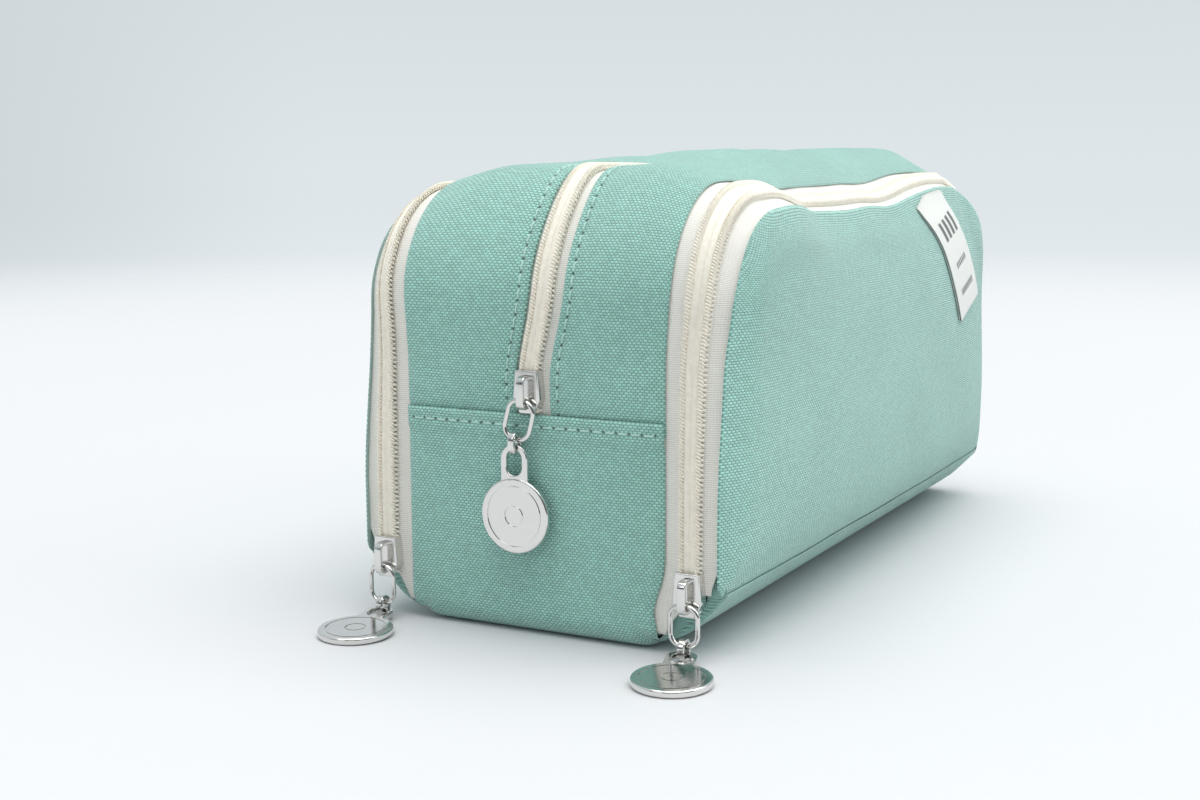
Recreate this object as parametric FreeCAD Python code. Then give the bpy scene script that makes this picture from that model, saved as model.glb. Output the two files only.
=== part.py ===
"""Three-compartment canvas pencil case with coil zips, modelled as separate sewn and cast pieces.

Frame: +X along the case's length, -X end carries the zip pulls, +Z up, -Y is the label side.
The origin is the centre of the flat base.  All sizes are in millimetres.
"""
import FreeCAD, Part
import math
import os

V = FreeCAD.Vector
SIDES = {"right": -1, "left": 1}
ENDS = {"front": -1, "rear": 1}

# ---- driving dimensions of the sewn case --------------------------------------------------------
HALF_LENGTH = 100.0      # origin to the outside of either end
HEIGHT = 98.0            # floor to the outside of the top canvas
TOP_RADIUS = 26.0        # corner between an end and the top
BASE_RADIUS = 5.0        # corner between an end and the bottom
FACE_HALF = 31.8         # centre line to the seam where a side zip starts
SIDE_BAND = 12.0         # width of canvas-free zip between case and flap
CENTER_BAND_HALF = 5.0   # centre line to the folded canvas edge beside the centre zip
SEAM_HEIGHT = 49.0       # top edge of the base panel on both ends
FLAP_LOW = 13.2          # bottom edge of a side flap
FLAP_THICK = 2.6
FLAP_CANVAS = 1.0        # outer canvas of a flap
FLAP_LINING = 0.4        # inner cloth of a flap
FLAP_LOW_RADIUS = 8.0
FLOOR_DROP = 1.8         # flap's bottom edge down to the slanted floor's outer edge
FLOOR_SHORT = 3.5        # floor stops this far inside either end
LIP_SHORT = 0.8          # mouth canvas stops this far short of the side seam it bends at

# ---- layers, as distances inward from the outside of the canvas ---------------------------------
CANVAS = (-1.0, 0.0)
TAPE = (-1.5, -1.0)
FOAM = (-2.6, -1.0)
LINING = (-3.0, -2.6)
HEM_PROUD = 0.8          # folded top hem of the base panel stands this far out
HEM_TALL = 4.5
TAPE_HIDDEN = 5.0        # width of zip tape sewn under the centre strips
SIDE_TAPE_HIDDEN = 2.8   # width of zip tape sewn under the side edge of a strip
TAPE_GAP_HALF = 0.9      # centre line of a zip to the woven edge of its tape
PARTITION = (31.0, 31.6)
SEW_GAP = 0.2

# ---- coil zip and its slider ---------------------------------------------------------------------
COIL = (-1.0, 0.7)
COIL_IN = 0.1
COIL_OUT = 2.1
SLIDER_LENGTH = 9.3
SLIDER_TAIL_HALF = 2.8
SLIDER_HEAD_HALF = 3.3
SLIDER_TIP_HALF = 1.7
SLIDER_WALL = 0.5
SLIDER_SHOULDER = -1.6   # height where the head's sides start to taper
TOP_PLATE = (1.0, 1.9)
TOP_PLATE_ROUND = 0.3
LOW_PLATE = (-2.6, -1.75)
LOW_PLATE_INSET = 0.2
LIP_LOW = -0.75
LIP_END = -3.2           # height where the side lips stop below the shoulder
MOUTH_HALF = 2.3
MOUTH_DEEP = 1.0
DIAMOND_HALF = 0.6
DIAMOND_TOP = -1.2
DIAMOND_SET_IN = 0.5     # plate's tip up to the diamond's lower end
CROWN_WIDTH = 1.8
CROWN_WALL = 0.85
CROWN_HALF = 3.6
CROWN_OUT = 4.85
CROWN_BEND = 1.6
CROWN_ROUND = 0.2
SIDE_ZIP_Y = FACE_HALF + SIDE_BAND / 2
SLIDER_Z = {"right": 13.85, "left": 13.85, "center": 53.9}
ZIP_LOW = 6.0
FLAP_ZIP_LOW = 14.0

# ---- pull: wire link, connector ring and round tag ----------------------------------------------
WIRE = 1.1
LINK_HALF_WIDTH = 3.1
LINK_LENGTH = 8.4
LINK_CORNER = 2.6
LINK_OUT = 3.1           # wire centre out from the canvas face
LINK_DROP = 1.85         # slider centre down to the link's upper bar
HANG = 1.8               # link's lower bar down to the tag's eyelet bar
RING_INNER = 1.2
RING_WALL = 0.75
RING_WIDTH = 1.5
RING_ABOVE = 0.8
RING_BELOW = 1.0
RING_ROUND = 0.18
TAG_RADIUS = 8.3
TAG_THICK = 1.5
TAG_ROUND = 0.45
TAG_OVERLAP = 1.2        # eyelet runs this far into the disc
TAG_ARM = 15.0           # eyelet bar to the disc's centre
EYELET_THICK = 1.2
EYELET_HALF = 3.3
EYELET_BAR = 1.2
EYELET_ROUND = 0.25
SLOT_HALF = 1.9
SLOT_LENGTH = 5.6
GROOVE_RADIUS = 6.6
GROOVE_WIDTH = 0.35
GROOVE_DEEP = 0.2
DOT_RADIUS = 2.2
CENTER_LEAN = 15.0       # sideways lean of the centre link, degrees
TAG_YAW = {"right": 16.0, "left": 12.0}
TAG_TILT = 2.5           # a resting tag's outer rim is lower than its eyelet, degrees

# ---- woven label ---------------------------------------------------------------------------------
LABEL_X = 64.5           # middle of the label's lower edge
LABEL_WIDTH = 25.0
LABEL_Z = (61.2, 93.0)
LABEL_THICK = 0.5
LABEL_SLANT = 22.0       # lean of its top towards -X, degrees


def outline(start, *steps):
    """Closed face from a start point and steps; a step is an end point or an arc (middle, end)."""
    edges = []
    here = start
    for step in steps + (start,):
        if isinstance(step, tuple):
            edges.append(Part.Arc(here, step[0], step[1]).toShape())
            here = step[1]
        elif (step - here).Length > 1e-6:
            edges.append(Part.LineSegment(here, step).toShape())
            here = step
    return Part.Face(Part.Wire(edges))


def corner(centre_x, centre_z, radius, degrees):
    """Point on a corner arc; degrees counted from +X towards +Z."""
    angle = math.radians(degrees)
    return V(centre_x + radius * math.cos(angle), 0, centre_z + radius * math.sin(angle))


def end_section(end, layer, low):
    """XZ section of one end's layer: straight from low up the end, then round the top corner."""
    inner, outer = layer
    centre_x = end * (HALF_LENGTH - TOP_RADIUS)
    centre_z = HEIGHT - TOP_RADIUS
    middle = 90 - end * 45
    side = 90 - end * 90
    big = TOP_RADIUS + outer
    small = TOP_RADIUS + inner
    return outline(
        V(end * (HALF_LENGTH + outer), 0, low),
        corner(centre_x, centre_z, big, side),
        (corner(centre_x, centre_z, big, middle), corner(centre_x, centre_z, big, 90)),
        corner(centre_x, centre_z, small, 90),
        (corner(centre_x, centre_z, small, middle), corner(centre_x, centre_z, small, side)),
        V(end * (HALF_LENGTH + inner), 0, low),
    )


def span_section(layer):
    """XZ section of a layer along the straight part of the top."""
    inner, outer = layer
    reach = HALF_LENGTH - TOP_RADIUS
    return outline(
        V(-reach, 0, HEIGHT + inner),
        V(reach, 0, HEIGHT + inner),
        V(reach, 0, HEIGHT + outer),
        V(-reach, 0, HEIGHT + outer),
    )


def plate_section(offset, low, low_radius):
    """XZ face inside the case outline moved out by offset, with its own bottom edge and corners."""
    half = HALF_LENGTH + offset
    top = HEIGHT + offset
    big = TOP_RADIUS + offset
    reach = HALF_LENGTH - TOP_RADIUS
    shoulder = HEIGHT - TOP_RADIUS
    foot = half - low_radius
    return outline(
        V(-foot, 0, low),
        V(foot, 0, low),
        (corner(foot, low + low_radius, low_radius, -45), V(half, 0, low + low_radius)),
        V(half, 0, shoulder),
        (corner(reach, shoulder, big, 45), V(reach, 0, top)),
        V(-reach, 0, top),
        (corner(-reach, shoulder, big, 135), V(-half, 0, shoulder)),
        V(-half, 0, low + low_radius),
        (corner(-foot, low + low_radius, low_radius, -135), V(-foot, 0, low)),
    )


def cradle_section(layer, top):
    """XZ section of a U-shaped layer of the base: up both ends and along the bottom."""
    inner, outer = layer
    half = HALF_LENGTH
    big = BASE_RADIUS + outer
    small = BASE_RADIUS + inner
    foot = half - BASE_RADIUS
    return outline(
        V(-half - outer, 0, top),
        V(-half - outer, 0, BASE_RADIUS),
        (corner(-foot, BASE_RADIUS, big, 225), V(-foot, 0, -outer)),
        V(foot, 0, -outer),
        (corner(foot, BASE_RADIUS, big, -45), V(half + outer, 0, BASE_RADIUS)),
        V(half + outer, 0, top),
        V(half + inner, 0, top),
        V(half + inner, 0, BASE_RADIUS),
        (corner(foot, BASE_RADIUS, small, -45), V(foot, 0, -inner)),
        V(-foot, 0, -inner),
        (corner(-foot, BASE_RADIUS, small, 225), V(-half - inner, 0, BASE_RADIUS)),
        V(-half - inner, 0, top),
    )


def across(section, y_from, y_to):
    """Solid of an XZ section carried along Y."""
    low = min(y_from, y_to)
    return section.translated(V(0, low, 0)).extrude(V(0, abs(y_to - y_from), 0))


def block(x_range, y_range, z_range):
    """Box between two limits on each axis, given in either order."""
    x_low, x_high = sorted(x_range)
    y_low, y_high = sorted(y_range)
    z_low, z_high = sorted(z_range)
    return Part.makeBox(x_high - x_low, y_high - y_low, z_high - z_low, V(x_low, y_low, z_low))


def end_hoop(layer, low, y_from, y_to):
    """One solid over the whole arch: both ends from low up, and the top between them."""
    solids = [across(end_section(end, layer, low), y_from, y_to) for end in ENDS.values()]
    top = across(span_section(layer), y_from, y_to)
    return solids[0].fuse(solids[1]).fuse(top).removeSplitter()


# ---- base panel and what lies on it --------------------------------------------------------------
def base_canvas():
    """U of canvas: bottom and the lower half of both ends, with a folded hem at its top edge."""
    panel = across(cradle_section(CANVAS, SEAM_HEIGHT), -FACE_HALF, FACE_HALF)
    for end in ENDS.values():
        outside = end * HALF_LENGTH
        hem = block((outside, outside + end * HEM_PROUD), (-FACE_HALF, FACE_HALF),
                    (SEAM_HEIGHT - HEM_TALL, SEAM_HEIGHT))
        panel = panel.fuse(hem)
    return panel.removeSplitter()


def base_foam():
    """Padding inside the base canvas, short of its hems and side seams."""
    half = FACE_HALF - SIDE_TAPE_HIDDEN - SEW_GAP
    return across(cradle_section(FOAM, SEAM_HEIGHT - 2 * HEM_TALL), -half, half)


def base_lining():
    """Inner cloth of the base, from partition to partition."""
    return across(cradle_section(LINING, SEAM_HEIGHT - HEM_TALL / 2), -PARTITION[0], PARTITION[0])


def partition(side):
    """Fabric wall between the centre and a side compartment."""
    return across(plate_section(TAPE[0], -TAPE[0], BASE_RADIUS + TAPE[0]), side * PARTITION[0],
                  side * PARTITION[1])


def side_floor(side):
    """Slanted canvas strip from the base's side seam up to the flap's fabric hinge."""
    rise = FLAP_LOW - FLOOR_DROP
    run = SIDE_BAND
    length = math.hypot(run, rise)
    thick = CANVAS[1] - CANVAS[0]
    lift = thick * length / run
    reach = HALF_LENGTH - FLOOR_SHORT
    tip = V(-reach, side * (FACE_HALF + run), rise)
    section = outline(
        V(-reach, side * FACE_HALF, 0),
        tip,
        tip + V(0, -side * thick * rise / length, thick * run / length),
        V(-reach, side * FACE_HALF, lift),
    )
    return section.extrude(V(2 * reach, 0, 0))


# ---- strips and zip halves -----------------------------------------------------------------------
def strip_pair(end, layer, low, inner, outer):
    """Matching solids on both sides of the centre zip at one end of the case."""
    section = end_section(end, layer, low)
    return Part.makeCompound([across(section, side * inner, side * outer) for side in (-1, 1)])


def coil_low(name):
    """Height where the coil stops above the slider's diamond."""
    return SLIDER_Z[name] + DIAMOND_TOP + SEW_GAP


def flap_plate(side, depth_from, depth_to):
    """Layer of a side flap; depths are counted outward from the flap's inner face."""
    inner_face = FACE_HALF + SIDE_BAND
    section = plate_section(0, FLAP_LOW, FLAP_LOW_RADIUS)
    return across(section, side * (inner_face + depth_from), side * (inner_face + depth_to))


def label():
    """Woven label folded in two, sewn under the flap's top edge and hanging on its face."""
    low, high = LABEL_Z
    face = -(FACE_HALF + SIDE_BAND + FLAP_THICK)
    plate = block((LABEL_X - LABEL_WIDTH / 2, LABEL_X + LABEL_WIDTH / 2), (face - LABEL_THICK, face),
                  (low, high))
    plate.rotate(V(LABEL_X, 0, low), V(0, 1, 0), -LABEL_SLANT)
    return plate


# ---- sliders -------------------------------------------------------------------------------------
def slider_outline(out, inset):
    """YZ outline of a slider plate at x = -out, narrowed by inset on every side."""
    half = SLIDER_LENGTH / 2 - inset
    tail = SLIDER_TAIL_HALF - inset
    head = SLIDER_HEAD_HALF - inset
    tip = SLIDER_TIP_HALF - inset
    bend = SLIDER_SHOULDER
    return outline(
        V(-out, -tail, half),
        V(-out, tail, half),
        V(-out, head, bend),
        V(-out, tip, -half),
        V(-out, -tip, -half),
        V(-out, -head, bend),
    )


def slider_body():
    """Cast slider: two plates joined by the diamond, with side lips down from the upper plate."""
    thick_top = TOP_PLATE[1] - TOP_PLATE[0]
    upper = slider_outline(TOP_PLATE[1], 0).extrude(V(thick_top, 0, 0))
    face_edges = [e for e in upper.Edges if e.BoundBox.XMax < -TOP_PLATE[1] + 1e-6]
    upper = upper.makeFillet(TOP_PLATE_ROUND, face_edges)
    thick_low = LOW_PLATE[1] - LOW_PLATE[0]
    lower = slider_outline(LOW_PLATE[1], LOW_PLATE_INSET).extrude(V(thick_low, 0, 0))
    lip_deep = TOP_PLATE[0] - LIP_LOW
    skirt = slider_outline(TOP_PLATE[0], 0).extrude(V(lip_deep, 0, 0))
    channel = slider_outline(TOP_PLATE[0], SLIDER_WALL).extrude(V(lip_deep, 0, 0))
    lips = skirt.cut(channel)
    past = SLIDER_LENGTH
    mouth = block((-past, past), (-MOUTH_HALF, MOUTH_HALF), (SLIDER_LENGTH / 2 - MOUTH_DEEP, past))
    below = block((-past, past), (-past, past), (-past, LIP_END))
    lips = lips.cut(mouth).cut(below)
    diamond = block((-TOP_PLATE[0], -LOW_PLATE[1]), (-DIAMOND_HALF, DIAMOND_HALF),
                    (-SLIDER_LENGTH / 2 + DIAMOND_SET_IN, DIAMOND_TOP))
    return upper.fuse([lower, lips, diamond]).removeSplitter()


def slider_crown():
    """Arch on the slider that the link hangs from."""
    foot = -TOP_PLATE[1]
    top = -CROWN_OUT
    bend = CROWN_BEND
    half = CROWN_HALF
    wall = CROWN_WALL

    def arch(half_z, top_x, radius):
        flat = 1 - math.sqrt(0.5)
        return outline(
            V(foot, 0, half_z),
            V(top_x + radius, 0, half_z),
            (V(top_x + radius * flat, 0, half_z - radius * flat), V(top_x, 0, half_z - radius)),
            V(top_x, 0, radius - half_z),
            (V(top_x + radius * flat, 0, radius * flat - half_z), V(top_x + radius, 0, -half_z)),
            V(foot, 0, -half_z),
        )

    outer = across(arch(half, top, bend), -CROWN_WIDTH / 2, CROWN_WIDTH / 2)
    window = across(arch(half - wall, top + wall, bend - wall), -CROWN_WIDTH, CROWN_WIDTH)
    crown = outer.cut(window)
    rims = [e for e in crown.Edges if e.BoundBox.XMax < foot - 0.05 and e.BoundBox.YLength < 1e-6]
    return crown.makeFillet(CROWN_ROUND, rims)


# ---- pulls ---------------------------------------------------------------------------------------
def pull_link():
    """Rounded rectangle of wire in the YZ plane; its upper bar is centred on the origin."""
    half = LINK_HALF_WIDTH
    low = -LINK_LENGTH
    bend = LINK_CORNER
    part = bend * (1 - math.sqrt(0.5))
    start = V(0, 0, 0)
    stops = [
        (V(0, half - bend, 0), None),
        (V(0, half, -bend), V(0, half - part, -part)),
        (V(0, half, low + bend), None),
        (V(0, half - bend, low), V(0, half - part, low + part)),
        (V(0, bend - half, low), None),
        (V(0, -half, low + bend), V(0, part - half, low + part)),
        (V(0, -half, -bend), None),
        (V(0, bend - half, 0), V(0, part - half, -part)),
        (start, None),
    ]
    edges = []
    here = start
    for stop, middle in stops:
        if middle is None:
            edges.append(Part.LineSegment(here, stop).toShape())
        else:
            edges.append(Part.Arc(here, middle, stop).toShape())
        here = stop
    path = Part.Wire(edges)
    ring = Part.Wire([Part.makeCircle(WIRE / 2, start, V(0, 1, 0))])
    return path.makePipeShell([ring], True, True)


def pull_connector():
    """Flat ring in the XZ plane round the link's lower bar (origin) and the tag's eyelet bar."""
    high = RING_ABOVE
    low = -HANG - RING_BELOW

    def loop(radius, grow):
        return outline(
            V(-radius, 0, high + grow - radius),
            (V(0, 0, high + grow), V(radius, 0, high + grow - radius)),
            V(radius, 0, low - grow + radius),
            (V(0, 0, low - grow), V(-radius, 0, low - grow + radius)),
        )

    outer = across(loop(RING_INNER + RING_WALL, RING_WALL), -RING_WIDTH / 2, RING_WIDTH / 2)
    inner = across(loop(RING_INNER, 0), -RING_WIDTH, RING_WIDTH)
    ring = outer.cut(inner)
    return ring.makeFillet(RING_ROUND, [e for e in ring.Edges if e.BoundBox.YLength < 1e-6])


def pull_tag():
    """Round tag hanging in the YZ plane from an eyelet whose bar is centred on the origin."""
    centre = V(-TAG_THICK / 2, 0, -TAG_ARM)
    disc = Part.makeCylinder(TAG_RADIUS, TAG_THICK, centre, V(1, 0, 0))
    rims = [e for e in disc.Edges if isinstance(e.Curve, Part.Circle)]
    disc = disc.makeFillet(TAG_ROUND, rims)
    top = EYELET_BAR / 2
    x_face = -EYELET_THICK / 2
    part = math.sqrt(0.5)
    high = top - EYELET_HALF
    shank = -TAG_ARM + TAG_RADIUS - TAG_OVERLAP
    eyelet = outline(
        V(x_face, -EYELET_HALF, high),
        (V(x_face, -EYELET_HALF * part, high + EYELET_HALF * part), V(x_face, 0, top)),
        (V(x_face, EYELET_HALF * part, high + EYELET_HALF * part), V(x_face, EYELET_HALF, high)),
        V(x_face, EYELET_HALF, shank),
        V(x_face, -EYELET_HALF, shank),
    ).extrude(V(EYELET_THICK, 0, 0))
    upper = -EYELET_BAR / 2 - SLOT_HALF
    lower = -EYELET_BAR / 2 - SLOT_LENGTH + SLOT_HALF
    slot = outline(
        V(x_face, -SLOT_HALF, upper),
        (V(x_face, 0, upper + SLOT_HALF), V(x_face, SLOT_HALF, upper)),
        V(x_face, SLOT_HALF, lower),
        (V(x_face, 0, lower - SLOT_HALF), V(x_face, -SLOT_HALF, lower)),
    ).extrude(V(EYELET_THICK, 0, 0))
    eyelet = eyelet.cut(slot)
    on_rim = [
        e for e in eyelet.Edges
        if e.BoundBox.XLength < 1e-6 and e.BoundBox.ZMax > shank + 0.1
    ]
    eyelet = eyelet.makeFillet(EYELET_ROUND, on_rim)
    tag = disc.fuse(eyelet).removeSplitter()
    for radius in (GROOVE_RADIUS, DOT_RADIUS):
        outside = centre + V(-GROOVE_DEEP, 0, 0)
        ring = Part.makeCylinder(radius + GROOVE_WIDTH / 2, 2 * GROOVE_DEEP, outside, V(1, 0, 0))
        core = Part.makeCylinder(radius - GROOVE_WIDTH / 2, 2 * GROOVE_DEEP, outside, V(1, 0, 0))
        tag = tag.cut(ring.cut(core))
    return tag


def placed(shape, point, *turns):
    """Copy of a piece turned about its own origin, then carried to a point; a turn is (axis, deg)."""
    moved = shape.copy()
    for axis, degrees in turns:
        moved.rotate(V(0, 0, 0), axis, degrees)
    moved.translate(point)
    return moved


def pull_points(name):
    """World points of a pull's three pivots: link's upper bar, its lower bar, tag's eyelet bar."""
    y_zip = 0.0 if name == "center" else SIDES[name] * SIDE_ZIP_Y
    lean = math.radians(CENTER_LEAN) if name == "center" else 0.0
    upper = V(-HALF_LENGTH - LINK_OUT, y_zip, SLIDER_Z[name] - LINK_DROP)
    lower = upper + V(0, LINK_LENGTH * math.sin(lean), -LINK_LENGTH * math.cos(lean))
    eyelet = lower + V(0, 0, -HANG)
    return upper, lower, eyelet


def save(name, shape):
    """Writes one node's STEP file after looking over its solids."""
    for solid in shape.Solids:
        if not solid.isValid() or solid.Volume <= 0:
            raise ValueError(f"{name} has a solid that is not sound")
    if not shape.Solids:
        raise ValueError(f"{name} holds no solid")
    shape.exportStep(f"parts/{name}.step")


def build_case():
    """Base, strips, centre zip, partitions, floors and the case side of both side zips."""
    save("base_canvas", base_canvas())
    save("base_foam", base_foam())
    save("base_lining", base_lining())
    tuck = SEAM_HEIGHT - 2 * HEM_TALL + SEW_GAP
    foam_from = CENTER_BAND_HALF + TAPE_HIDDEN + SEW_GAP
    foam_to = FACE_HALF - SIDE_TAPE_HIDDEN - SEW_GAP
    lining_from = CENTER_BAND_HALF + 2 * SEW_GAP
    for end_name, end in ENDS.items():
        canvas = end_section(end, CANVAS, SEAM_HEIGHT)
        for side_name, side in SIDES.items():
            strip = across(canvas, side * CENTER_BAND_HALF, side * FACE_HALF)
            save(f"{end_name}_{side_name}_strip", strip)
        save(f"{end_name}_strip_foam", strip_pair(end, FOAM, SEAM_HEIGHT, foam_from, foam_to))
        save(f"{end_name}_strip_lining",
             strip_pair(end, LINING, SEAM_HEIGHT, lining_from, PARTITION[0]))
        save(f"{end_name}_center_tape",
             strip_pair(end, TAPE, tuck, TAPE_GAP_HALF, CENTER_BAND_HALF + TAPE_HIDDEN))
        save(f"{end_name}_center_coil",
             strip_pair(end, COIL, coil_low("center"), COIL_IN, COIL_OUT))
    for side_name, side in SIDES.items():
        save(f"{side_name}_partition", partition(side))
        save(f"{side_name}_side_floor", side_floor(side))
        save(f"{side_name}_case_tape",
             end_hoop(TAPE, ZIP_LOW, side * (FACE_HALF - SIDE_TAPE_HIDDEN),
                      side * (SIDE_ZIP_Y - TAPE_GAP_HALF)))
        save(f"{side_name}_case_coil",
             end_hoop(COIL, coil_low(side_name), side * (SIDE_ZIP_Y - COIL_OUT),
                      side * (SIDE_ZIP_Y - COIL_IN)))


def build_flaps():
    """Both padded side flaps with their half of the zip, and the label on the right one."""
    canvas_from = FLAP_THICK - FLAP_CANVAS
    for side_name, side in SIDES.items():
        save(f"{side_name}_flap_canvas", flap_plate(side, canvas_from, FLAP_THICK))
        save(f"{side_name}_flap_foam", flap_plate(side, FLAP_LINING, canvas_from))
        save(f"{side_name}_flap_lining", flap_plate(side, 0.0, FLAP_LINING))
        save(f"{side_name}_flap_tape",
             end_hoop(TAPE, FLAP_ZIP_LOW, side * (SIDE_ZIP_Y + TAPE_GAP_HALF),
                      side * (FACE_HALF + SIDE_BAND)))
        save(f"{side_name}_flap_coil",
             end_hoop(COIL, FLAP_ZIP_LOW, side * (SIDE_ZIP_Y + COIL_IN),
                      side * (SIDE_ZIP_Y + COIL_OUT)))
    save("woven_label", label())


def build_lips():
    """The middle stretch of both centre strips, which opens as the mouth of the centre part."""
    foam_from = CENTER_BAND_HALF + TAPE_HIDDEN + SEW_GAP
    foam_to = FACE_HALF - SIDE_TAPE_HIDDEN - SEW_GAP
    layers = {
        "strip": (CANVAS, CENTER_BAND_HALF, FACE_HALF - LIP_SHORT),
        "foam": (FOAM, foam_from, foam_to),
        "lining": (LINING, CENTER_BAND_HALF + 2 * SEW_GAP, foam_to),
        "tape": (TAPE, TAPE_GAP_HALF, CENTER_BAND_HALF + TAPE_HIDDEN),
        "coil": (COIL, COIL_IN, COIL_OUT),
    }
    for side_name, side in SIDES.items():
        for piece, (layer, inner, outer) in layers.items():
            solid = across(span_section(layer), side * inner, side * outer)
            save(f"{side_name}_lip_{piece}", solid)


def build_sliders():
    """Slider, crown, link, connector and tag of each of the three zips, placed where they rest."""
    body = slider_body()
    crown = slider_crown()
    link = pull_link()
    connector = pull_connector()
    tag = pull_tag()
    along_x = V(1, 0, 0)
    along_y = V(0, 1, 0)
    along_z = V(0, 0, 1)
    for name, height in SLIDER_Z.items():
        upper, lower, eyelet = pull_points(name)
        slider_at = V(-HALF_LENGTH, upper.y, height)
        save(f"{name}_slider_body", placed(body, slider_at))
        save(f"{name}_slider_crown", placed(crown, slider_at))
        save(f"{name}_pull_connector", placed(connector, lower))
        if name == "center":
            save(f"{name}_pull_link", placed(link, upper, (along_x, CENTER_LEAN)))
            save(f"{name}_pull_tag", placed(tag, eyelet))
        else:
            save(f"{name}_pull_link", placed(link, upper))
            turns = ((along_y, 90 - TAG_TILT), (along_z, TAG_YAW[name]))
            save(f"{name}_pull_tag", placed(tag, eyelet, *turns))


os.makedirs("parts", exist_ok=True)
build_case()
build_flaps()
build_lips()
build_sliders()
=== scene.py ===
"""Canvas pencil case with three coil zips, built as an add-on and run as a script.

Every soft piece is a surface of two numbers: s runs along the case's outline in its lengthwise
plane, from the middle of the bottom towards -X, up that end and over the top; t is the place across
(Y).  A third number, n, stands out from that outline.  All lengths are metres.
"""

import math

import bmesh
import bpy
import numpy as np
from bpy.props import FloatProperty, FloatVectorProperty, IntProperty, PointerProperty
from mathutils import Matrix, Vector


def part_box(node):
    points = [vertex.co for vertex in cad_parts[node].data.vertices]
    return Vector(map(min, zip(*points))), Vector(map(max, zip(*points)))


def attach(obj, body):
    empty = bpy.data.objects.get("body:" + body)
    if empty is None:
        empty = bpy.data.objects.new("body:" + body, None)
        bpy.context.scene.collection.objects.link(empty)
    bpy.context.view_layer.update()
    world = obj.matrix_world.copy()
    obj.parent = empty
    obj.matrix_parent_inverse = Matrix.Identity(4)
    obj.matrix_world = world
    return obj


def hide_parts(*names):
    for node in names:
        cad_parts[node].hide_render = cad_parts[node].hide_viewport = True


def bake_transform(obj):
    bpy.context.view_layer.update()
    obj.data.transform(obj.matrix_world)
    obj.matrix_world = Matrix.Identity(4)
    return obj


bl_info = {
    "name": "Canvas pencil case",
    "version": (1, 0, 0),
    "blender": (4, 5, 0),
    "location": "View3D > Sidebar > Pencil case",
    "description": "Builds the sewn canvas, zips, pulls and label of a pencil case round its frame",
    "category": "Add Mesh",
}

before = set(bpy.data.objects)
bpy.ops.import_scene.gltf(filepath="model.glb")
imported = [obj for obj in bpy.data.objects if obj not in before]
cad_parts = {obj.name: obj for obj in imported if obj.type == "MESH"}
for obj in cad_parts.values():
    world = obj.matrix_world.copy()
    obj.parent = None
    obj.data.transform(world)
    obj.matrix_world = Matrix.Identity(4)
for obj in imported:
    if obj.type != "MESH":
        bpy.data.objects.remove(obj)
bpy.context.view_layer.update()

MM = 0.001
SIDES = {"right": -1, "left": 1}
ENDS = {"front": 1, "rear": -1}      # sign of s at that end
STRIP_LOW, STRIP_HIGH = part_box("front_left_strip")
FLAP_LOW, FLAP_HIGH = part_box("left_flap_canvas")
BASE_RADIUS = 5 * MM
HALF_LENGTH = -STRIP_LOW.x
HEIGHT = STRIP_HIGH.z
TOP_RADIUS = HALF_LENGTH + STRIP_HIGH.x
SEAM_HEIGHT = STRIP_LOW.z
FOLD = STRIP_LOW.y                   # centre line to the canvas edge beside the centre zip
FACE_HALF = STRIP_HIGH.y             # centre line to the side seam
FLAP_FACE = FLAP_HIGH.y              # centre line to the outside of a side flap
FLAP_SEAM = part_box("left_flap_lining")[0].y
SIDE_ZIP = sum(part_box("left_slider_body")[i].y for i in (0, 1)) / 2
CANVAS_THICK = MM
TAPE_IN, TAPE_OUT = -1.5 * MM, -1.0 * MM   # depth of a zip tape's two sides below the outline
TAPE_EDGE = 0.9 * MM                 # middle of a zip to its tape's inner edge
COIL_FOOT = 0.4 * MM                 # base panel's hem to the low end of the centre coil
SEAM_STITCH = 2.6 * MM               # upper edge of the base panel to its topstitch
FLAP_CORNER = 3.5 * MM               # radius of a flap's low corners
LINING_HALF = 31 * MM                # half width of the base panel's lining

# The outline's corner points: arc length, centre of turning, radius and direction of the normal.
RUNS = [HALF_LENGTH - BASE_RADIUS, BASE_RADIUS * math.pi / 2, HEIGHT - BASE_RADIUS - TOP_RADIUS,
        TOP_RADIUS * math.pi / 2, HALF_LENGTH - TOP_RADIUS]
KNOTS = np.concatenate([[0.0], np.cumsum(RUNS)])
KNOT_X = -np.array([0, RUNS[0], RUNS[0], RUNS[4], RUNS[4], 0])
KNOT_Z = np.array([BASE_RADIUS] * 3 + [HEIGHT - TOP_RADIUS] * 3)
KNOT_RADIUS = np.array([BASE_RADIUS] * 3 + [TOP_RADIUS] * 3)
KNOT_TURN = -np.radians([90, 90, 180, 180, 270, 270])
MIDDLE = KNOTS[-1]


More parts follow.
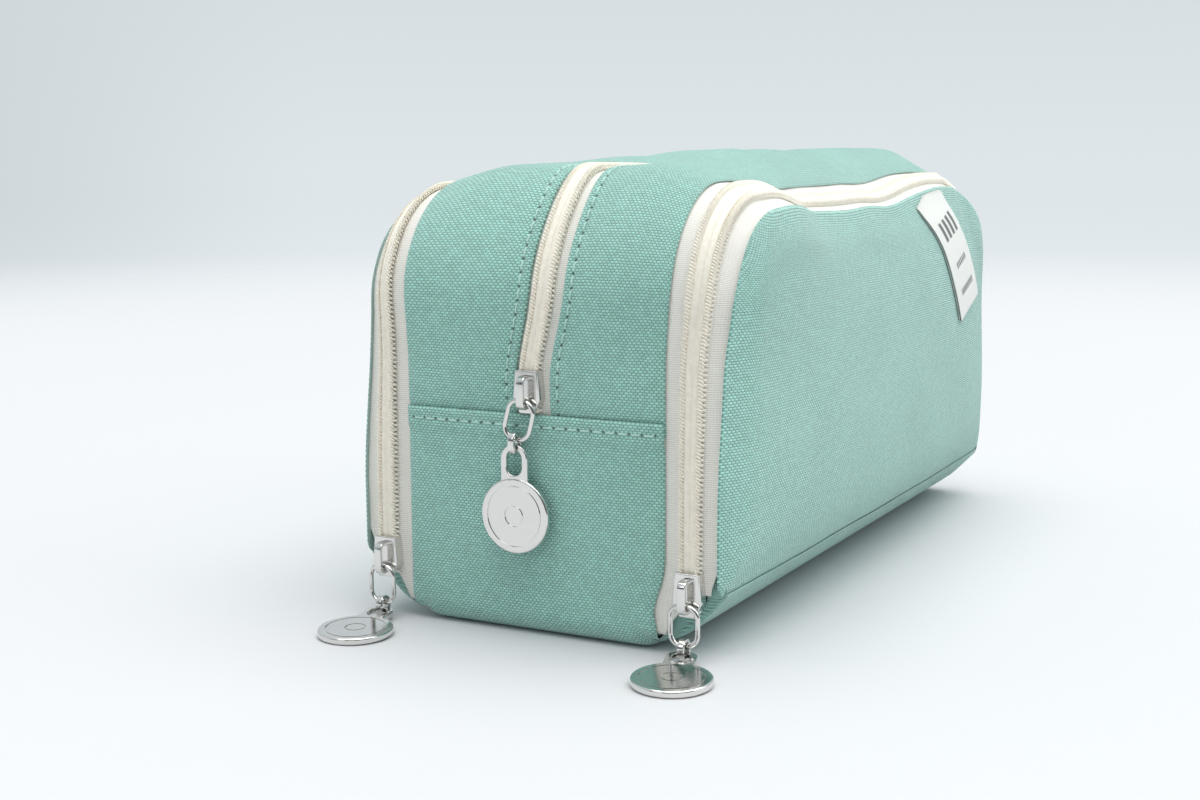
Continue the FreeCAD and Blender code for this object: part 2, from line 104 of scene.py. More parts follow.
# ---- sizes and colours a user may change ---------------------------------------------------------
class CaseSizes(bpy.types.PropertyGroup):
    """Sizes of the sewn case."""
    weave_row: FloatProperty(name="Weave row", description="Height of one row of the canvas weave",
                             default=0.58 * MM, unit="LENGTH")
    weave_thread: FloatProperty(name="Weave thread", description="Length of one thread crossing",
                                default=1.02 * MM, unit="LENGTH")
    strip_puff: FloatProperty(name="Strip puff", description="Rise of padded strips between seams",
                              default=1.0 * MM, unit="LENGTH")
    crown: FloatProperty(name="Crown", description="Rise of the top between the side zips",
                         default=7.6 * MM, unit="LENGTH")
    wander: FloatProperty(name="Wander", description="Sideways slump of the centre zip in front",
                          default=2.6 * MM, unit="LENGTH")
    tilt: FloatProperty(name="Tilt", description="Inward fall of the side zips' band at the flaps",
                        default=3.5 * MM, unit="LENGTH")
    dip: FloatProperty(name="Dip", description="Sag of the side zips along the middle of the top",
                       default=3.6 * MM, unit="LENGTH")
    bulge: FloatProperty(name="Bulge", description="Outward swell of the padded side flaps",
                         default=5.5 * MM, unit="LENGTH")
    lean: FloatProperty(name="Lean", description="Inward lean of the flaps' top edge",
                        default=4.5 * MM, unit="LENGTH")
    stitch_pitch: FloatProperty(name="Stitch pitch", description="Distance between needle holes",
                                default=3.0 * MM, unit="LENGTH")
    stitch_inset: FloatProperty(name="Stitch inset", description="Folded edge to its topstitch",
                                default=2.2 * MM, unit="LENGTH")
    coil_pitch: FloatProperty(name="Coil pitch", description="Distance between turns of a zip coil",
                              default=1.02 * MM, unit="LENGTH")
    label_width: FloatProperty(name="Label width", description="Width of the folded label",
                               default=25 * MM, unit="LENGTH")
    label_length: FloatProperty(name="Label length", description="Length of the label once folded",
                                default=40.5 * MM, unit="LENGTH")
    label_slant: FloatProperty(name="Label slant", description="Lean of the label off upright",
                               default=math.radians(24), subtype="ANGLE")
    seed: IntProperty(name="Seed", description="Seed of the small ripples in the cloth", default=7)


class CaseColours(bpy.types.PropertyGroup):
    """Base colours, in linear light."""
    canvas: FloatVectorProperty(name="Canvas", description="Mint canvas", subtype="COLOR", size=3,
                                default=(0.40, 0.735, 0.65))
    thread: FloatVectorProperty(name="Thread", description="Topstitching thread", subtype="COLOR",
                                size=3, default=(0.55, 0.80, 0.72))
    tape: FloatVectorProperty(name="Tape", description="Woven zip tape", subtype="COLOR", size=3,
                              default=(0.88, 0.86, 0.80))
    coil: FloatVectorProperty(name="Coil", description="Nylon zip coil", subtype="COLOR", size=3,
                              default=(0.93, 0.88, 0.77))
    lining: FloatVectorProperty(name="Lining", description="Inner lining cloth", subtype="COLOR",
                                size=3, default=(0.40, 0.56, 0.52))
    label: FloatVectorProperty(name="Label", description="Woven cotton label", subtype="COLOR",
                               size=3, default=(0.84, 0.85, 0.82))
    print_ink: FloatVectorProperty(name="Ink", description="Printed bars on the label",
                                   subtype="COLOR", size=3, default=(0.05, 0.055, 0.06))
    nickel: FloatVectorProperty(name="Nickel", description="Plated metal", subtype="COLOR", size=3,
                                default=(0.74, 0.73, 0.71))


class StudioSettings(bpy.types.PropertyGroup):
    """Lights, floor and camera."""
    key_strength: FloatProperty(name="Key strength", description="Strength of the broad key light",
                                default=2.75)
    side_power: FloatProperty(name="Side power", description="Power of the light on the label side",
                              default=3.0, unit="POWER")
    front_power: FloatProperty(name="Front power", description="Power of the light on the pulls",
                               default=1.0, unit="POWER")
    floor: FloatVectorProperty(name="Floor", description="Colour of the floor sheet",
                               subtype="COLOR", size=3, default=(0.615, 0.62, 0.635))
    sky: FloatVectorProperty(name="Surround", description="Colour of the room's soft light",
                             subtype="COLOR", size=3, default=(0.73, 0.79, 0.82))
    horizon: FloatVectorProperty(name="Low surround", description="Colour just under the horizon",
                                 subtype="COLOR", size=3, default=(0.87, 0.913, 0.94))
    lens: FloatProperty(name="Lens", description="Focal length in millimetres", default=48.0)


def sizes():
    """The case's sizes as set in the scene."""
    return bpy.context.scene.case_sizes


def colours():
    """The case's colours as set in the scene."""
    return bpy.context.scene.case_colours


def studio():
    """The studio's settings in the scene."""
    return bpy.context.scene.case_studio


# ---- shape functions -----------------------------------------------------------------------------
def ease(start, end, x):
    """Smooth step: 0 before start, 1 after end, 3a^2 - 2a^3 at the share a of the way between."""
    a = np.clip((x - start) / (end - start), 0, 1)
    return a * a * (3 - 2 * a)


def edge_rise(gap, radius):
    """Quarter circle: 0 on a border and 1 once gap reaches radius."""
    return np.sqrt(1 - (1 - np.clip(gap / radius, 0, 1)) ** 2)


def spread(start, end, step, edge=1.6 * MM):
    """Places from start to end, a step apart, closing up towards both ends as a cosine does."""
    part = edge * (1 - np.cos(np.linspace(0, math.pi / 2, 7)))
    count = max(2, round((end - start - 2 * edge) / step)) + 1
    middle = np.linspace(start + edge, end - edge, count)
    return np.concatenate([start + part, middle[1:-1], (end - part)[::-1]])


def outline_point(s, n):
    """X and Z at arc length s, moved out by n: the centre of turning plus (radius + n) times the
    normal, each of them straight-line interpolated between the outline's corner points.  A negative
    s is the mirror image, on the +X half."""
    reach = np.abs(s)
    turn = np.interp(reach, KNOTS, KNOT_TURN)
    radius = np.interp(reach, KNOTS, KNOT_RADIUS) + n
    x = np.interp(reach, KNOTS, KNOT_X) + radius * np.cos(turn)
    z = np.interp(reach, KNOTS, KNOT_Z) + radius * np.sin(turn)
    return np.where(s < 0, -x, x), z


def ripple(a, b, length, seed):
    """Sum of five sine waves in random directions, about one length long, within -1 and 1."""
    rng = np.random.default_rng(sizes().seed + seed)
    total = np.zeros(np.broadcast(a, b).shape)
    for angle, phase, share in zip(rng.uniform(0, math.pi, 5), rng.uniform(0, 6.28, 5),
                                   rng.uniform(0.7, 1.5, 5)):
        along = a * math.cos(angle) + b * math.sin(angle)
        total += np.sin(2 * math.pi * along / (length * share) + phase)
    return total / 5


def settle(x, y, z):
    """The filled, soft shape that the sewn case takes, as shifts of each point.  Every shift is a
    smooth bump in X times one in Y times one in Z:
    - the top swells to a crown between the side zips, with a shallow valley along the centre zip;
    - the centre zip wanders sideways and the upper front moves back;
    - the side zips' bands sag along the top and fall inwards over the corners;
    - the flaps swell outwards as a sine in height and lean in at their top;
    - the front right corner is pinched above the floor, and the low edges are rounded;
    - small ripples run over it all."""
    size = sizes()
    side = np.sign(y)
    wide = np.abs(y)
    ends = 1 - np.clip(np.abs(x) / HALF_LENGTH, 0, 1) ** 3
    top = ease(0.070, 0.098, z)

    # Centre zip: sideways wander at the front, and the upper front moved back.
    centred = 1 - np.clip(wide / FACE_HALF, 0, 1) ** 2
    front = 1 - ease(0.0, 0.06, x)
    side_step = -size.wander * ease(0.056, 0.076, z) * centred * front
    back = 2.0 * MM * centred * ease(0.056, 0.088, z) * (1 - ease(-0.099, -0.060, x))

    # Crown: rises in two steps from the front, ends before the rear, and has a valley in it.
    rise = 0.43 * ease(-0.099, -0.080, x) + 0.57 * ease(-0.080, 0.050, x)
    valley = 0.36 * ease(-0.075, -0.035, x) * (1 - ease(0.002, 0.014, wide))
    crown = rise * (1 - ease(0.076, 0.1, x)) * (1 - valley) * (1 - ease(0.018, 0.038, wide))

    # Side zips' bands: sag along the top, and fall along the outline's normal towards the flaps.
    sag = ease(-0.070, -0.038, x) * (1 - 1.2 * ease(0.010, 0.062, x))
    sink = size.dip * sag * np.clip((wide - 0.027) / 0.008, 0, 1) * top
    fall = np.clip((wide - 0.033) / 0.011, 0, 1.2) ** 1.3
    corner = (1 - ease(-0.088, -0.040, x)) * ease(0.058, 0.085, z)
    droop = size.tilt * (1 + 0.75 * corner) * fall * ease(0.030, 0.070, z)
    straight = HALF_LENGTH - TOP_RADIUS
    off_x = (x - np.clip(x, -straight, straight)) / TOP_RADIUS
    off_z = np.maximum(z - HEIGHT + TOP_RADIUS, 0) / TOP_RADIUS
    off = np.maximum(np.hypot(off_x, off_z), 1e-9)
    inward = droop * ease(0.2, 1.0, off) / off
    lift = size.crown * crown * top - sink - inward * off_z

    # Flaps: swell in height, lean at the top, and a general fullness of the upper sides.
    up = np.clip((z - 0.0132) / 0.0848, 0, 1)
    leaning = ease(-0.066, -0.030, x) * (1 - ease(0.080, 0.100, x)) * ease(0.55, 1.0, up)
    swell = size.bulge * ends * np.sin(math.pi * up ** 0.6) * ease(0.034, 0.044, wide)
    swell = swell - size.lean * leaning * ease(0.030, 0.046, wide)
    swell = swell + 1.2 * MM * ease(0.058, 0.080, z) * np.clip(wide / 0.038, 0, 1)

    # Ripples, and the pinch of the front right corner beside its zip's low end.
    x = x - inward * off_x + back
    soft = 0.30 * MM * (top + ease(0.042, 0.045, wide)) * ends
    lift = lift + soft * top * ripple(x, y, 0.034, 1)
    swell = swell + soft * ripple(x, z, 0.040, 2)
    pinch = (2.6 * MM * np.exp(-((z - 0.0085) / 0.0062) ** 2) * ease(0.016, 0.030, wide)
             * (1 - ease(0.0315, 0.0370, wide)) * ease(0.088, 0.098, np.abs(x)) * (y < 0))
    swell = swell - pinch

    # Low edges: the square corner between base and side becomes a quarter circle.
    tuck = 6.5 * MM
    over = np.maximum(wide - (FACE_HALF - tuck), 0)
    under = np.maximum(tuck - z, 0)
    both = np.maximum(np.hypot(over, under), 1e-9)
    squeeze = np.where((over > 0) & (under > 0), np.maximum(over, under) / both, 1.0)
    wide = np.where(over > 0, FACE_HALF - tuck + over * squeeze, wide)
    z = np.where(under > 0, tuck - under * squeeze, z)
    return np.stack([x, side * (wide + swell) + side_step, z + lift], -1)


def wrap(s, t, n):
    """Settled points of (s, t, n)."""
    x, z = outline_point(s, n)
    return settle(x, t + 0 * x, z)


def quads(grid):
    """Corner numbers of a grid's squares."""
    return np.stack([grid[:-1, :-1], grid[1:, :-1], grid[1:, 1:], grid[:-1, 1:]], -1).reshape(-1, 4)


def outward(points, faces):
    """True if the closed mesh holds a positive volume: the sum of each face's corner products."""
    a, b, c, d = (points[faces[:, i]] for i in range(4))
    volume = np.einsum("ij,ij->", np.cross(a, b), c) + np.einsum("ij,ij->", np.cross(a, c), d)
    return volume >= 0


def make_piece(name, points, faces, coords, materials, caps=(), lined=None, stitches=None):
    """Mesh object from arrays; coords holds each point's place on the cloth, and stitches its place
    along and across the nearest line of topstitching."""
    if not outward(points, faces):
        faces = faces[:, ::-1]
        caps = [cap[::-1] for cap in caps]
    mesh = bpy.data.meshes.new(name)
    mesh.from_pydata(points.tolist(), [], faces.tolist() + [list(map(int, cap)) for cap in caps])
    corners = np.concatenate([faces.ravel()] + [np.asarray(cap) for cap in caps]).astype(int)
    for layer, values in (("cloth", coords), ("stitch", stitches)):
        if values is not None:
            uv = mesh.uv_layers.new(name=layer)
            uv.data.foreach_set("uv", values[corners].astype(np.float32).ravel())
    for material in materials:
        mesh.materials.append(material)
    if lined is not None:
        mesh.polygons.foreach_set("material_index", np.asarray(lined, np.int32))
    mesh.polygons.foreach_set("use_smooth", np.ones(len(mesh.polygons), bool))
    mesh.set_sharp_from_angle(angle=math.radians(55))
    mesh.update()
    piece = bpy.data.objects.new(name, mesh)
    bpy.context.scene.collection.objects.link(piece)
    return piece


def make_panel(name, outer, inner, coords, materials, stitches=None):
    """Closed panel of two sheets on one grid that meet along the border.  outer and inner hold
    (rows, columns, 3) points; with two materials the second is the inner sheet's."""
    rows, columns = outer.shape[:2]
    count = rows * columns
    face = np.arange(count).reshape(rows, columns)
    back = face.copy()
    back[1:-1, 1:-1] = count + np.arange((rows - 2) * (columns - 2)).reshape(rows - 2, columns - 2)
    points = np.concatenate([outer.reshape(-1, 3), inner[1:-1, 1:-1].reshape(-1, 3)])
    faces = np.concatenate([quads(face), quads(back)[:, ::-1]])
    lined = np.repeat([0, len(materials) - 1], len(quads(face)))
    layers = [None if grid is None else
              np.concatenate([grid.reshape(-1, 2), grid[1:-1, 1:-1].reshape(-1, 2)])
              for grid in (coords, stitches)]
    return make_piece(name, points, faces, layers[0], materials, lined=lined, stitches=layers[1])


def make_tube(name, centre, side_way, up_way, radius, sides, material, mapping=wrap):
    """Tube round a line: each ring is the line's point plus radius times (cos a, sin a) along two
    given directions; flat faces close both ends.  Lines of shape (tubes, points, 3) are joined."""
    tubes, count = centre.shape[:2]
    angle = np.linspace(0, 2 * math.pi, sides, endpoint=False)
    ring = (side_way[:, :, None] * np.cos(angle)[:, None]
            + up_way[:, :, None] * np.sin(angle)[:, None])
    local = centre[:, :, None] + radius * ring
    points = mapping(local[..., 0], local[..., 1], local[..., 2]).reshape(-1, 3)
    index = np.arange(tubes * count * sides).reshape(tubes, count, sides)
    ring = np.concatenate([index, index[:, :, :1]], 2)
    faces = np.stack([ring[:, :-1, :-1], ring[:, 1:, :-1], ring[:, 1:, 1:], ring[:, :-1, 1:]], -1)
    faces = faces.reshape(-1, 4)
    caps = [part for tube in index for part in (tube[0], tube[-1][::-1])]
    coords = np.stack([local[..., 0], local[..., 1]], -1).reshape(-1, 2)
    return make_piece(name, points, faces, coords, [material], caps=caps)


# ---- materials -----------------------------------------------------------------------------------
def add(tree, kind, inputs=(), **settings):
    """New node with its settings; inputs are (socket, value or output to link)."""
    made = tree.nodes.new(kind)
    for key, value in settings.items():
        setattr(made, key, value)
    for socket, value in dict(inputs).items():
        if isinstance(value, bpy.types.NodeSocket):
            tree.links.new(value, made.inputs[socket])
        else:
            made.inputs[socket].default_value = value
    return made


def calc(tree, operation, *values):
    """Output of a new Math node."""
    return add(tree, "ShaderNodeMath", dict(enumerate(values)), operation=operation).outputs[0]


def blend_colour(tree, share, first, second, mode="MIX"):
    """Colour that goes from first to second as share goes from 0 to 1."""
    made = add(tree, "ShaderNodeMix", data_type="RGBA", blend_type=mode)
    for socket, value in ((0, share), (6, first), (7, second)):
        if isinstance(value, bpy.types.NodeSocket):
            tree.links.new(value, made.inputs[socket])
        else:
            made.inputs[socket].default_value = value
    return made.outputs[2]


def noise(tree, place, scale, detail, **settings):
    """Noise texture's output over the given place."""
    return add(tree, "ShaderNodeTexNoise", {"Vector": place, "Scale": scale, "Detail": detail},
               **settings).outputs[0]


def span(tree, value, low, high, start=0.0, end=1.0, kind="LINEAR"):
    """Output of a Map Range node: value from low to high becomes start to end."""
    return add(tree, "ShaderNodeMapRange", {0: value, 1: low, 2: high, 3: start, 4: end},
               interpolation_type=kind).outputs[0]


def new_group(name, inputs, outputs):
    """Empty shader node group with float or vector inputs and float outputs."""
    group = bpy.data.node_groups.new(name, "ShaderNodeTree")
    for label, value in inputs.items():
        kind = "NodeSocketVector" if value is None else "NodeSocketFloat"
        socket = group.interface.new_socket(name=label, in_out="INPUT", socket_type=kind)
        if value is not None:
            socket.default_value = value
    for label in outputs:
        group.interface.new_socket(name=label, in_out="OUTPUT", socket_type="NodeSocketFloat")
    given = group.nodes.new("NodeGroupInput").outputs
    return group, given, group.nodes.new("NodeGroupOutput").inputs


def placed_group(tree, group, inputs):
    """Outputs of a node group placed in a material, with inputs linked or set."""
    return add(tree, "ShaderNodeGroup", inputs, node_tree=group).outputs


def weave_group():
    """Plain weave: rows of plump oval threads, each row shifted by half a thread.  Height is the
    square root of the product of two sine arches; Tone is a random number per thread; Fibre is fine
    noise drawn out along the threads."""
    if "Plain weave" in bpy.data.node_groups:
        return bpy.data.node_groups["Plain weave"]
    inputs = {"Cloth": None, "Row": 0.58 * MM, "Thread": 1.02 * MM}
    group, given, result = new_group("Plain weave", inputs, ("Height", "Tone", "Fibre"))
    wander = add(group, "ShaderNodeTexNoise",
                 {"Vector": given["Cloth"], "Scale": 320.0, "Detail": 1.0}, noise_dimensions="2D")
    drift = add(group, "ShaderNodeVectorMath", {0: wander.outputs["Color"], 1: (0.5, 0.5, 0.5)},
                operation="SUBTRACT")
    drift = add(group, "ShaderNodeVectorMath", {0: drift.outputs[0], "Scale": 0.22 * MM},
                operation="SCALE")
    place = add(group, "ShaderNodeVectorMath", {0: given["Cloth"], 1: drift.outputs[0]},
                operation="ADD")
    part = add(group, "ShaderNodeSeparateXYZ", {0: place.outputs[0]}).outputs
    row = calc(group, "DIVIDE", part["X"], given["Row"])
    number = calc(group, "FLOOR", row)
    shift = calc(group, "MULTIPLY", calc(group, "FLOORED_MODULO", number, 2.0), 0.5)
    along = calc(group, "ADD", calc(group, "DIVIDE", part["Y"], given["Thread"]), shift)
    arches = [calc(group, "ABSOLUTE", calc(group, "SINE", calc(group, "MULTIPLY", way, math.pi)))
              for way in (row, along)]
    height = calc(group, "SQRT", calc(group, "MULTIPLY", *arches))
    cell = add(group, "ShaderNodeCombineXYZ", {"X": number, "Y": calc(group, "FLOOR", along)})
    tone = add(group, "ShaderNodeTexWhiteNoise", {"Vector": cell.outputs[0]}, noise_dimensions="2D")
    drawn = add(group, "ShaderNodeMapping",
                {"Vector": given["Cloth"], "Scale": (9000.0, 1600.0, 1.0)})
    fibre = noise(group, drawn.outputs[0], 1.0, 2.0, noise_dimensions="2D")
    for label, output in (("Height", height), ("Tone", tone.outputs[0]), ("Fibre", fibre)):
        group.links.new(output, result[label])
    return group


def holes_group():
    """Mask of needle holes: round spots where a whole number of stitches meets the stitch line."""
    if "Needle holes" in bpy.data.node_groups:
        return bpy.data.node_groups["Needle holes"]
    inputs = {"Stitch": None, "Radius": 0.5 * MM, "Pitch": 3 * MM}
    group, given, result = new_group("Needle holes", inputs, ("Hole",))
    part = add(group, "ShaderNodeSeparateXYZ", {0: given["Stitch"]}).outputs
    near = calc(group, "SUBTRACT", part["X"], calc(group, "ROUND", part["X"]))
    along = calc(group, "MULTIPLY", near, given["Pitch"])
    away = calc(group, "SQRT", calc(group, "ADD", calc(group, "MULTIPLY", along, along),
                                    calc(group, "MULTIPLY", part["Y"], part["Y"])))
    inside = calc(group, "SUBTRACT", 1.0, calc(group, "DIVIDE", away, given["Radius"]))
    group.links.new(calc(group, "MAXIMUM", inside, 0.0), result["Hole"])
    return group


def scuffs_group():
    """Smudges, and fine hairline scratches from stretched noise, on Object coordinates."""
    if "Metal scuffs" in bpy.data.node_groups:
        return bpy.data.node_groups["Metal scuffs"]
    group, given, result = new_group("Metal scuffs", {"Place": None}, ("Smudge", "Scratch"))
    smudge = noise(group, given["Place"], 260.0, 3.0)
    drawn = add(group, "ShaderNodeMapping", {"Vector": given["Place"], "Rotation": (0.4, 0.9, 0.2),
                                             "Scale": (2500.0, 2500.0, 60.0)})
    scratch = noise(group, drawn.outputs[0], 1.0, 1.0)
    group.links.new(smudge, result["Smudge"])
    group.links.new(scratch, result["Scratch"])
    return group


def start_material(name):
    """Material with its surface shader, or the finished one if it exists already."""
    if name in bpy.data.materials:
        return bpy.data.materials[name], None, None
    material = bpy.data.materials.new(name)
    material.use_nodes = True
    tree = material.node_tree
    shader = next(n for n in tree.nodes if n.type == "BSDF_PRINCIPLED")
    return material, tree, shader


def on_cloth(tree, layer="cloth"):
    """The piece's own coordinates: its place on the cloth, or beside the stitch line."""
    return add(tree, "ShaderNodeUVMap", uv_map=layer).outputs[0]


def bumped(tree, shader, height, distance):
    """Feeds a height, in units of distance, to the shader's normal."""
    bump = add(tree, "ShaderNodeBump", {"Height": height, "Distance": distance, "Strength": 1.0})
    tree.links.new(bump.outputs[0], shader.inputs["Normal"])


def rgba(colour, gain=1.0):
    """A colour made lighter or darker, with its alpha."""
    return tuple(c * gain for c in colour) + (1.0,)


def canvas_material():
    """Mint canvas: plump weave with painted shade in its gaps and needle holes, a tone per thread.
    """
    material, tree, shader = start_material("mint canvas weave")
    if tree is None:
        return material
    base = colours().canvas
    cloth = on_cloth(tree)
    size = sizes()
    weave = placed_group(tree, weave_group(), {"Cloth": cloth, "Row": size.weave_row,
                                               "Thread": size.weave_thread})
    hole = placed_group(tree, holes_group(), {"Stitch": on_cloth(tree, "stitch"),
                                              "Pitch": size.stitch_pitch})["Hole"]
    # Painted shade: the weave's low places between threads are darkened to 0.40 of the canvas
    # colour, and the thread tops raised to 1.06.
    raised = span(tree, weave["Height"], 0.12, 0.85)
    colour = blend_colour(tree, raised, rgba(base, 0.40), rgba(base, 1.06))
    tone = span(tree, weave["Tone"], 0.0, 1.0, 0.90, 1.07)
    fade = span(tree, noise(tree, cloth, 28.0, 2.0), 0.3, 0.7, 0.96, 1.04)
    gain = calc(tree, "MULTIPLY", tone, fade)
    grey = add(tree, "ShaderNodeCombineColor", {0: gain, 1: gain, 2: gain})
    colour = blend_colour(tree, 1.0, colour, grey.outputs[0], "MULTIPLY")
    # Painted shade: each needle hole is darkened to 0.04 of the canvas colour.
    colour = blend_colour(tree, hole, colour, rgba(base, 0.04))
    tree.links.new(colour, shader.inputs["Base Color"])
    height = calc(tree, "ADD", weave["Height"], calc(tree, "MULTIPLY", weave["Fibre"], 0.22))
    height = calc(tree, "SUBTRACT", height, calc(tree, "MULTIPLY", hole, 1.5))
    bumped(tree, shader, height, 0.22 * MM)
    shader.inputs["Roughness"].default_value = 0.86
    shader.inputs["Specular IOR Level"].default_value = 0.25
    shader.inputs["Sheen Weight"].default_value = 0.6
    shader.inputs["Sheen Roughness"].default_value = 0.42
    return material


def lining_material():
    """Fine plain-woven lining, with painted shade between its threads."""
    material, tree, shader = start_material("lining weave")
    if tree is None:
        return material
    base = colours().lining
    height = placed_group(tree, weave_group(), {"Cloth": on_cloth(tree), "Row": 0.30 * MM,
                                                "Thread": 0.34 * MM})["Height"]
    # Painted shade: the weave's low places between threads fall to 0.72 of the lining colour.
    tint = blend_colour(tree, height, rgba(base, 0.72), rgba(base, 1.04))
    tree.links.new(tint, shader.inputs["Base Color"])
    bumped(tree, shader, height, 0.04 * MM)
    shader.inputs["Roughness"].default_value = 0.75
    return material


def tape_material():
    """Woven zip tape: close ribs straight across, with a faint lengthwise thread and painted shade
    between the ribs.
    """
    material, tree, shader = start_material("zip tape weave")
    if tree is None:
        return material
    base = colours().tape
    cloth = on_cloth(tree)
    part = add(tree, "ShaderNodeSeparateXYZ", {0: cloth}).outputs
    rib = calc(tree, "SINE", calc(tree, "MULTIPLY", part["X"], math.pi / (0.46 * MM)))
    rib = calc(tree, "ABSOLUTE", rib)
    warp = calc(tree, "SINE", calc(tree, "MULTIPLY", part["Y"], 2 * math.pi / (0.62 * MM)))
    fuzz = noise(tree, cloth, 2600.0, 2.0)
    height = calc(tree, "ADD", rib, calc(tree, "ADD", calc(tree, "MULTIPLY", warp, 0.12),
                                         calc(tree, "MULTIPLY", fuzz, 0.35)))
    # Painted shade: the grooves between ribs fall to 0.80 of the tape colour; the fuzz noise in the
    # height adds a random tone as well.
    shade = span(tree, height, 0.1, 1.0)
    colour = blend_colour(tree, shade, rgba(base, 0.80), rgba(base, 1.03))
    tree.links.new(colour, shader.inputs["Base Color"])
    bumped(tree, shader, height, 0.07 * MM)
    shader.inputs["Roughness"].default_value = 0.8
    shader.inputs["Sheen Weight"].default_value = 0.12
    return material


def nylon_material(name, colour, rough):
    """Nylon of the coil and thread: faint mottling and a soft shine."""
    material, tree, shader = start_material(name)
    if tree is None:
        return material
    place = add(tree, "ShaderNodeTexCoord").outputs["Object"]
    mottle = noise(tree, place, 900.0, 2.0)
    tint = blend_colour(tree, mottle, rgba(colour, 0.86), rgba(colour, 1.08))
    tree.links.new(tint, shader.inputs["Base Color"])
    gloss = span(tree, mottle, 0.0, 1.0, rough - 0.08, rough + 0.1)
    tree.links.new(gloss, shader.inputs["Roughness"])
    bumped(tree, shader, noise(tree, place, 5200.0, 1.0), 0.04 * MM)
    return material


def nickel_material():
    """Bright nickel plate with smudges in its shine and hairline scratches."""
    material, tree, shader = start_material("nickel plate")
    if tree is None:
        return material
    base = colours().nickel
    place = add(tree, "ShaderNodeTexCoord").outputs["Object"]
    scuffs = placed_group(tree, scuffs_group(), {"Place": place})
    tint = blend_colour(tree, scuffs["Smudge"], rgba(base, 0.94), rgba(base, 1.04))
    tree.links.new(tint, shader.inputs["Base Color"])
    gloss = span(tree, scuffs["Smudge"], 0.35, 0.7, 0.07, 0.2)
    tree.links.new(gloss, shader.inputs["Roughness"])
    bumped(tree, shader, scuffs["Scratch"], 0.006 * MM)
    shader.inputs["Metallic"].default_value = 1.0
    return material


# Printed rows of the label, in millimetres: foot, head, left end, right end, pitch of the bars, and
# the share of the pitch that a bar fills.
PRINTED_ROWS = ((23.0, 31.0, 4.0, 21.2, 4.4, 0.58),
                (13.8, 15.6, 6.6, 19.0, 1.7, 0.66),
                (5.8, 7.8, 5.6, 20.4, 1.6, 0.70))


def band(tree, value, low, high, soft):
    """1 between low and high and 0 outside, with smooth edges of twice soft."""
    rise = span(tree, value, low - soft, low + soft, kind="SMOOTHSTEP")
    fall = span(tree, value, high - soft, high + soft, 1.0, 0.0, kind="SMOOTHSTEP")
    return calc(tree, "MULTIPLY", rise, fall)


def label_material():
    """White cotton with soft-edged printed bars: a row of tall ones at the top and two rows of
    small ones below.  The cloth coordinates are metres from the label's lower corner."""
    material, tree, shader = start_material("label cotton weave")
    if tree is None:
        return material
    cloth = on_cloth(tree)
    weave = placed_group(tree, weave_group(), {"Cloth": cloth, "Row": 0.30 * MM,
                                               "Thread": 0.42 * MM})["Height"]
    base = colours().label
    # Painted shade: the weave's low places between threads fall to 0.84 of the label colour.
    tint = blend_colour(tree, weave, rgba(base, 0.84), rgba(base, 1.03))
    part = add(tree, "ShaderNodeSeparateXYZ", {0: cloth}).outputs
    ink = None
    for foot, head, left, right, pitch, share in PRINTED_ROWS:
        block = calc(tree, "MULTIPLY", band(tree, part["X"], foot * MM, head * MM, 0.3 * MM),
                     band(tree, part["Y"], left * MM, right * MM, 0.3 * MM))
        step = calc(tree, "FRACT", calc(tree, "DIVIDE", part["Y"], pitch * MM))
        bars = band(tree, step, 0.5 - share / 2, 0.5 + share / 2, 0.12)
        bars = calc(tree, "MULTIPLY", block, bars)
        ink = bars if ink is None else calc(tree, "MAXIMUM", ink, bars)
    ink = calc(tree, "MULTIPLY", ink, 0.85)
    tree.links.new(blend_colour(tree, ink, tint, rgba(colours().print_ink)),
                   shader.inputs["Base Color"])
    bumped(tree, shader, weave, 0.05 * MM)
    shader.inputs["Roughness"].default_value = 0.85
    return material


# ---- sewn panels ---------------------------------------------------------------------------------
def height_to_s(z):
    """Arc length of a height on the straight of an end."""
    return KNOTS[2] + z - BASE_RADIUS


def cloth_grid(s, t):
    """Cloth coordinates of a grid; a negative s is counted on past the top so that both halves of
    the case share one run of rows."""
    return np.stack(np.broadcast_arrays(np.where(s < 0, s + 2 * MIDDLE, s), t), -1)


def fold_edge(side):
    """Centre line to the folded edge of a strip; the left strip covers more of the zip's tape."""
    return FOLD - (1.5 if side > 0 else 0.4) * MM


def half_run(end, low, step, edge=1.6 * MM):
    """Places from low on one end of the case up to the middle of the top, plus the square cut."""
    places = spread(low, MIDDLE + edge, step, edge)
    places = np.append(places[places < MIDDLE - step / 2], [MIDDLE, MIDDLE])
    return places if end > 0 else -places[::-1]


def half_gap(s, low):
    """Distance from the sewn-in end; the cut end counts as closed only at its last place."""
    gap = np.abs(s) - low
    closed = np.zeros(len(s), bool)
    closed[-1 if s[0] > 0 else 0] = True
    return gap, closed


def build_panel(name, s, t, top, under, rim, closed, materials, stitches=None):
    """Panel between the offsets top and under; rim is 0 on the border and 1 inside it, and both
    sheets run to their middle where it is 0 or where the row is closed."""
    middle = (top + under) / 2
    rim = np.where(closed[:, None], 0.0, rim)
    s_grid, t_grid = np.broadcast_arrays(s[:, None], t[None, :])
    outer = wrap(s_grid, t_grid, middle + (top - middle) * rim)
    inner = wrap(s_grid, t_grid, middle + (under - middle) * rim)
    return make_panel(name, outer, inner, cloth_grid(s_grid, t_grid), materials, stitches)


def stitch_dent(along, across):
    """Groove along a line of topstitching: a bell across it, deeper at each needle hole."""
    pull = 0.62 + 0.38 * np.cos(2 * math.pi * along)
    return 0.34 * MM * pull * np.exp(-(across / (0.9 * MM)) ** 2)


